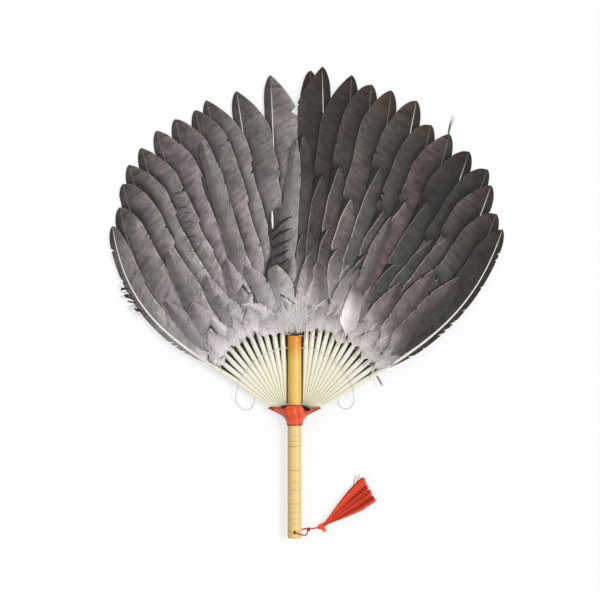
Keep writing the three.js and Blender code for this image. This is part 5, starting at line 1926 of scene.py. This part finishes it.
@dataclass
class Threads:
    """The thread through the quills and the rod, and its two loose loops."""

    writer: MeshWriter
    material: bpy.types.Material
    halves: Sequence[FanHalf]
    arc_radius: float = 58.0
    thread_radius: float = 0.45
    loop_radius: float = 0.5

    def twisted(self, line: Array, radius: float, sides: int = 10, plies: int = 3, turns: float = 0.5) -> Surface:
        """A laid thread: a tube whose radius swells by a cosine that winds with its length.

        Args:
            line: the thread's middle line.
            radius: its mean radius.
            sides: points around.
            plies: how many strands it shows.
            turns: turns in a millimetre.

        Returns:
            The tube, with a uv that runs on with its length.
        """
        run = run_of(step_lengths(line))
        surface = tubes(line[None], 1.0, sides)
        middle = np.repeat(line, sides, axis=0)
        turn = np.tile(ring_turns(sides), len(line))
        swell = radius * (1 + 0.06 * np.cos(plies * turn - 2 * np.pi * turns * np.repeat(run, sides)))
        surface.points = middle + (surface.points - middle) * swell[:, None]
        surface.uv[:, 0] *= run[-1] / 40
        return surface

    def crossing(self, half: FanHalf) -> float:
        """Angle about the origin at which the arc crosses the half's outermost straight quill."""
        angle = half.quills[-1]
        along = half.root_offset * math.sin(angle) + half.root_y * math.cos(angle)
        squared = half.root_offset**2 + half.root_y**2
        distance = -along + math.sqrt(along**2 - squared + self.arc_radius**2)
        x, y = half.spot(np.array(distance), np.array(angle))
        return math.atan2(x, y)

    def build(self) -> None:
        """Builds the loops first, because they are free cords, then the thread in its holes."""
        for name, route in (("left_thread_loop", LEFT_LOOP), ("right_thread_loop", RIGHT_LOOP)):
            line = catmull(route, 120)
            loop = self.twisted(line, self.loop_radius)
            piece = self.writer.write(f"{name}_yarn", [loop], [self.material], "thread", "fan", [name])
            length = float(step_lengths(line).sum()) * MM
            path = self.writer.place(line)
            tuple(path[0])
        left, right = (self.crossing(half) + (half.quill_radius + 0.6) / self.arc_radius for half in self.halves)
        angle = np.linspace(-left, right, 260)
        line = stack(self.arc_radius * np.sin(angle), self.arc_radius * np.cos(angle), 0.0)
        passes = [self.over(half, self.crossing(half)) for half in self.halves]
        self.writer.write(
            "spreader_yarn", [self.twisted(line, self.thread_radius), *passes], [self.material], "thread", "fan",
            ["spreader_thread"],
        )

    def over(self, half: FanHalf, last: float) -> Surface:
        """The thread's way back over the quills: on top of each quill, and down in each slot."""
        first = math.asin((ROD_RADIUS + 0.9) / self.arc_radius)
        angle = np.linspace(first, last, 420)
        radius = self.arc_radius + 1.0
        spots = stack(radius * np.sin(angle), radius * np.cos(angle))
        distance, place = half.polar(spots)
        rises = []
        for k in range(half.count):
            aside = distance * np.sin(place - half.shaft_angle(k, distance))
            rises.append(np.sqrt(np.maximum((half.quill_width(k, distance) + 0.4) ** 2 - aside**2, 0)))
        return self.twisted(half.to_fan(spots, np.maximum(np.max(rises, axis=0), 0.9)), 0.36)


@dataclass
class Tassel:
    """The tassel: its cord loop through the butt, two knots and a skirt of silk strands."""

    writer: MeshWriter
    cord_material: bpy.types.Material
    silk_material: bpy.types.Material
    threads: Threads
    cord_radius: float = 0.65
    knot_centre: tuple[float, float, float] = (13.5, -116.7, -4.5)
    head_centre: tuple[float, float, float] = (26.0, -114.4, -5.1)
    turn: float = 38.0
    length: float = 57.0
    half_width: float = 12.7
    half_depth: float = 3.3
    neck: float = 1.9
    slant: float = 2.6
    strand_count: int = 210
    bundles: int = 13
    stray_radius: float = 0.3
    flare_shares: Sequence[float] = (0, 0.08, 0.2, 0.37, 0.65, 0.85, 1)
    flares: Sequence[float] = (0, 0.03, 0.2, 0.46, 0.82, 0.95, 1)

    def knot(self, centre: Sequence[float], size: float, radius: float, squash: float, turn: float) -> Surface:
        """A trefoil tube: x = sin t + 2 sin 2t, y = cos t - 2 cos 2t, z = -sin 3t, scaled.

        Args:
            centre: its middle.
            size: its reach from the middle.
            radius: the tube's radius.
            squash: its height over its width.
            turn: its turn in its plane, in degrees.

        Returns:
            The closed tube.
        """
        t = np.linspace(0, 2 * np.pi, 121)[:-1]
        knot = stack(np.sin(t) + 2 * np.sin(2 * t), np.cos(t) - 2 * np.cos(2 * t), -np.sin(3 * t))
        x, y, z = (knot * np.array([size / 3, size / 3 * squash, size / 2.2])).T
        spin = math.radians(turn)
        line = stack(x * math.cos(spin) - y * math.sin(spin), x * math.sin(spin) + y * math.cos(spin), z)
        return self.closed_tube(line + np.array(centre), radius, 12)

    @staticmethod
    def closed_tube(line: Array, radius: float, sides: int) -> Surface:
        """A tube along a closed line, its last ring joined to its first."""
        along = unit(np.roll(line, -1, axis=0) - np.roll(line, 1, axis=0))
        side = unit(np.cross(along, np.array([0.0, 0.0, 1.0])))
        over = np.cross(side, along)
        turn = ring_turns(sides)[:, None]
        points = line[:, None] + radius * (np.cos(turn) * side[:, None] + np.sin(turn) * over[:, None])
        rings = len(line)
        faces = ring_grid(rings + 1, sides) % (rings * sides)
        uv = np.stack(np.meshgrid(np.arange(rings) / rings, np.arange(sides) / sides, indexing="ij"), axis=-1)
        surface = Surface(points.reshape(-1, 3), [faces], uv=uv.reshape(-1, 2))
        return surface.outward()

    def build_cord(self) -> bpy.types.Object:
        line = catmull(TASSEL_CORD, 160)
        cord = self.threads.twisted(line, self.cord_radius, sides=12, turns=0.45)
        piece = self.writer.write("tassel_cord_yarn", [cord], [self.cord_material], "tassel", "cord", ["tassel_cord"])
        small = self.knot(self.knot_centre, 1.5, 0.62, 1.0, 20)
        knot = self.writer.write("cord_knot_yarn", [small], [self.cord_material], "tassel", "cord", ["cord_knot"])
        head = [self.knot(self.head_centre, 2.9, 1.25, 0.86, self.turn), self.core(), self.tail()]
        top = self.writer.write("tassel_head", head, [self.silk_material], "tassel", "tassel", ["tassel_knot"])
        path = self.writer.place(line)
        length = float(step_lengths(line).sum()) * MM
        tuple(path[-1])
        return piece

    def core(self, rings: int = 10, sides: int = 16) -> Surface:
        """A small closed ball in the head knot's middle, so that no light shows through it."""
        a = np.linspace(0.05, np.pi - 0.05, rings)[:, None]
        b = ring_turns(sides)[None, :]
        ball = 1.9 * stack(np.sin(a) * np.cos(b), np.sin(a) * np.sin(b), np.cos(a))
        return closed(ball + np.array(self.head_centre))

    def tail(self, many: int = 14, count: int = 6) -> Surface:
        """The short cut ends that stick out of the head knot."""
        rng = np.random.default_rng(5)
        t = np.linspace(0, 1, count)[None, :]
        aim = np.radians(-56 + rng.uniform(-14, 14, (many, 1)))
        reach = rng.uniform(4.4, 6.4, (many, 1))
        x = self.head_centre[0] + reach * t * np.cos(aim) + rng.uniform(-0.5, 0.5, (many, 1))
        y = self.head_centre[1] + reach * t * np.sin(aim) + rng.uniform(-0.5, 0.5, (many, 1))
        z = self.head_centre[2] + rng.uniform(-0.9, 0.6, (many, 1)) - 0.8 * t
        return tubes(stack(x, y, z), self.stray_radius, 5)

    def build_skirt(self) -> bpy.types.Object:
        """Builds the strands.

        Strand m has a place (a, b) in a unit disc, gathered into bundles. At share t its middle is
        the start plus the length times t along the tassel, the width at t times a across it, and
        the depth at t times b up, with a slow wave, and it comes to rest on the floor.
        """
        rng = np.random.default_rng(77)
        many, count = self.strand_count, 16
        spin = math.radians(self.turn)
        along = np.array([math.cos(spin), math.sin(spin)])
        across = np.array([-math.sin(spin), math.cos(spin)])
        start = np.array(self.head_centre[:2]) + along * 2.4
        middle = np.linspace(-0.95, 0.95, self.bundles)[rng.integers(0, self.bundles, many)]
        a = middle + rng.normal(0, 0.045, many)
        b = rng.uniform(-1, 1, many) * np.sqrt(np.maximum(1 - np.clip(a, -0.97, 0.97) ** 2, 0.05))
        t = np.linspace(0, 1, count)[None, :] * rng.uniform(0.93, 1.0, many)[:, None]
        flare = np.interp(t, self.flare_shares, self.flares)
        wide = mix(self.neck * 0.75, self.half_width, flare)
        deep = mix(self.neck * 0.75, self.half_depth - 0.4, flare)
        side = wide * a[:, None] + 0.14 * np.sin(4 * t + 2.0 * a[:, None]) * t
        run = self.length * t + self.slant * a[:, None] * t
        ground = mix(self.head_centre[2], FLOOR_Z + self.half_depth, clamp01(t / 0.2))
        x = start[0] + run * along[0] + side * across[0]
        y = start[1] + run * along[1] + side * across[1]
        z = ground + deep * b[:, None]
        radii = mix(0.3, 0.5, clamp01(t * 3)) * (1 - 0.25 * clamp01((t - 0.9) * 10))
        # Painted shade: strands darken at the edges of their bundles, where the bundles part, and below the middle of
        # the skirt's depth.
        fold_shade = clamp01(np.abs(a - middle) / 0.09) ** 1.5
        streak = smooth(0.45, 0.95, np.sin(8.5 * a + 1.4 * np.sin(5 * a) + 0.6) ** 2)
        tone = clamp01(0.42 * fold_shade + 0.5 * streak - 0.5 * np.minimum(b, 0) + 0.1 * rng.random(many))
        strands = [tubes(stack(x, y, z), radii, 5, tone=tone[:, None]), self.strays()]
        materials = [self.silk_material]
        return self.writer.write("tassel_strands", strands, materials, "tassel", "tassel", ["tassel_skirt"])

    def strays(self) -> Surface:
        """Four loose strands that leave the skirt, each through three points of its own."""
        routes = (
            ((30, -111, -5), (46, -94, -7.6), (55, -79, -7.4), (59.2, -64.6, -7.4)),
            ((30, -111, -5), (47, -93, -7.2), (57, -78, -7.0), (62.8, -63.6, -7.0)),
            ((31, -112, -5), (48, -106, -7.6), (60, -101, -8.0), (68.2, -97.2, -8.1)),
            ((31, -112, -5), (50, -105, -7.2), (66, -95, -7.8), (79.5, -87.5, -8.0)),
        )
        return tubes(np.stack([catmull(route, 16) for route in routes]), self.stray_radius, 5, tone=0.6)


@dataclass
class SlotShade:
    """A dark sheet behind the quills, painted shade that darkens the slots between them: a patch for
    each half and one over the rod's sawn end.
    """

    writer: MeshWriter
    material: bpy.types.Material
    halves: Sequence[FanHalf]
    foot: float = 3.9
    start: float = 26.0
    end: float = 96.0
    low: float = -2.95
    high: float = -2.45
    top_y: float = 89.2
    rows: int = 40
    cols: int = 30

    def patch(self, side: int, bottom: Array, top: Array) -> Surface:
        """A closed thin patch whose points go straight from the bottom edge to the top edge."""
        share = np.linspace(0, 1, self.rows)[:, None, None]
        spots = mix(bottom[None], top[None], share) * np.array([side, 1.0])
        ripple = 0.06 * np.sin(2.1 * spots[..., 0]) * np.sin(2.1 * spots[..., 1])
        x, y = spots[..., 0], spots[..., 1]
        surface = shell(stack(x, y, self.high + ripple), stack(x, y, self.low))
        surface.values = {"tone": both_faces(1 - smooth(18, 44, np.hypot(x, y)))}
        return surface.outward()

    def build(self) -> bpy.types.Object:
        """Builds the three patches as one piece; the sheet is paler towards the collar."""
        share = np.linspace(0, 1, self.cols)
        slot = ROD_RADIUS + 0.02
        parts = []
        for half in self.halves:
            last = half.count - 1
            corner = half.on_shaft(last, np.array(self.start))
            bottom = mix(np.array([slot, self.foot]), corner, share[:, None])
            inner = math.asin((slot - half.root_offset) / self.end)
            outer = float(half.shaft_angle(last, np.array(self.end)))
            top = half.spot(np.array(self.end), mix(inner, outer, share))
            parts.append(self.patch(half.side.value, bottom, top))
        x = mix(-slot - 0.3, slot + 0.3, share)
        parts.append(self.patch(1, stack(x, ROD_TOP_Y + 0.1), stack(x, self.top_y)))
        return self.writer.write("slot_shade_sheet", parts, [self.material], "lining", "fan", ["back_lining"])


# Studio and the whole


@dataclass
class Studio:
    """Camera straight above, pale floor, soft light and a white surround."""

    origin: Array
    view_middle: tuple[float, float] = (5.184, 103.68)
    view_width: float = 576.0
    distance: float = 2.4
    sensor: float = 36.0
    floor_reach: float = 3.0
    floor_grey: float = 0.9
    floor_glow: float = 1.05
    floor_share: float = 0.62
    surround: float = 0.68
    surround_seen: float = 0.32
    sun_energy: float = 1.3
    sun_size: float = 16.0
    sun_tilt: tuple[float, float] = (-3.0, 36.0)

    def camera(self) -> None:
        """Places the camera above the middle of the photo's frame, looking straight down."""
        data = bpy.data.cameras.new("camera")
        data.sensor_width = self.sensor
        data.lens = self.sensor * self.distance / (self.view_width * MM)
        data.clip_end = 20
        eye = bpy.data.objects.new("camera", data)
        middle = np.array([*self.view_middle, 0.0]) * MM + self.origin
        eye.location = (middle[0], middle[1], middle[2] + self.distance)
        bpy.context.scene.collection.objects.link(eye)
        bpy.context.scene.camera = eye

    def floor(self) -> None:
        """A wide pale floor that shows white to the camera and keeps soft shadows."""
        corners = [(x * self.floor_reach, y * self.floor_reach, 0.0) for x, y in ((-1, -1), (1, -1), (1, 1), (-1, 1))]
        mesh = bpy.data.meshes.new("floor")
        mesh.from_pydata(corners, [], [(0, 1, 2, 3)])
        floor = bpy.data.objects.new("floor", mesh)
        bpy.context.scene.collection.objects.link(floor)
        material = bpy.data.materials.new("floor")
        kit = Nodes.of(material)
        plain = kit.add("ShaderNodeBsdfDiffuse", {"Color": (*[self.floor_grey] * 3, 1)}).outputs[0]
        white = kit.add("ShaderNodeEmission", {"Color": (1, 1, 1, 1), "Strength": self.floor_glow}).outputs[0]
        share = kit.times(kit.seen(), self.floor_share)
        shown = kit.add("ShaderNodeMixShader", {0: share, 1: plain, 2: white}).outputs[0]
        kit.add("ShaderNodeOutputMaterial", {"Surface": shown})
        mesh.materials.append(material)

    def light(self) -> None:
        """An even white surround and one soft sun from the upper right."""
        world = bpy.data.worlds.new("surround")
        bpy.context.scene.world = world
        kit = Nodes.of(world)
        strength = kit.times(kit.seen(), self.surround_seen, self.surround)
        back = kit.add("ShaderNodeBackground", {"Color": (1, 1, 1, 1), "Strength": strength}).outputs[0]
        kit.add("ShaderNodeOutputWorld", {"Surface": back})
        sun = bpy.data.lights.new("sun", "SUN")
        sun.energy = self.sun_energy
        sun.angle = math.radians(self.sun_size)
        lamp = bpy.data.objects.new("sun", sun)
        lamp.rotation_euler = (*map(math.radians, self.sun_tilt), 0)
        bpy.context.scene.collection.objects.link(lamp)

    def build(self) -> None:
        """Sets the view transform, then the camera, floor and light."""
        bpy.context.scene.view_settings.view_transform = "Standard"
        self.camera()
        self.floor()
        self.light()


def dress_carried_nodes(wardrobe: Wardrobe) -> None:
    """Gives the CAD nodes that stay their finish: the glue in the collar."""
    for name in ("left_root_glue", "right_root_glue"):
        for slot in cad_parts[name].material_slots:
            slot.material = wardrobe.glue
        log.info("%s keeps its CAD mesh", name)


def main() -> None:
    """Builds the studio, the cords, and then each sub-assembly of the fan."""
    logging.basicConfig(level=logging.INFO, format="%(message)s")
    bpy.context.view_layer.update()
    writer = MeshWriter()
    wardrobe = Wardrobe()
    halves = (LEFT_HALF, RIGHT_HALF)
    Studio(writer.origin).build()
    threads = Threads(writer, wardrobe.thread, halves)
    threads.build()
    tassel = Tassel(writer, wardrobe.cord, wardrobe.silk, threads)
    tassel.build_cord()
    tassel.build_skirt()
    BambooRod(writer, wardrobe.bamboo).build()
    Collar(writer, wardrobe.collar).build()
    SlotShade(writer, wardrobe.lining, halves).build()
    dress_carried_nodes(wardrobe)
    for half, looks, covers, rows, vane, shaft in (
        (LEFT_HALF, LEFT_LOOKS, LEFT_COVERS, LEFT_ROWS, wardrobe.left_vane, wardrobe.left_shaft),
        (RIGHT_HALF, RIGHT_LOOKS, RIGHT_COVERS, RIGHT_ROWS, wardrobe.right_vane, wardrobe.right_shaft),
    ):
        FlightFeathers(half, looks, writer, vane, shaft).build()
        CoverFeathers(halves, half, covers, writer, vane, shaft, wardrobe.wisp, rows).build()
    Down(halves, writer, wardrobe.down, (wardrobe.left_vane, wardrobe.right_vane)).build()


if __name__ == "__main__":
    main()
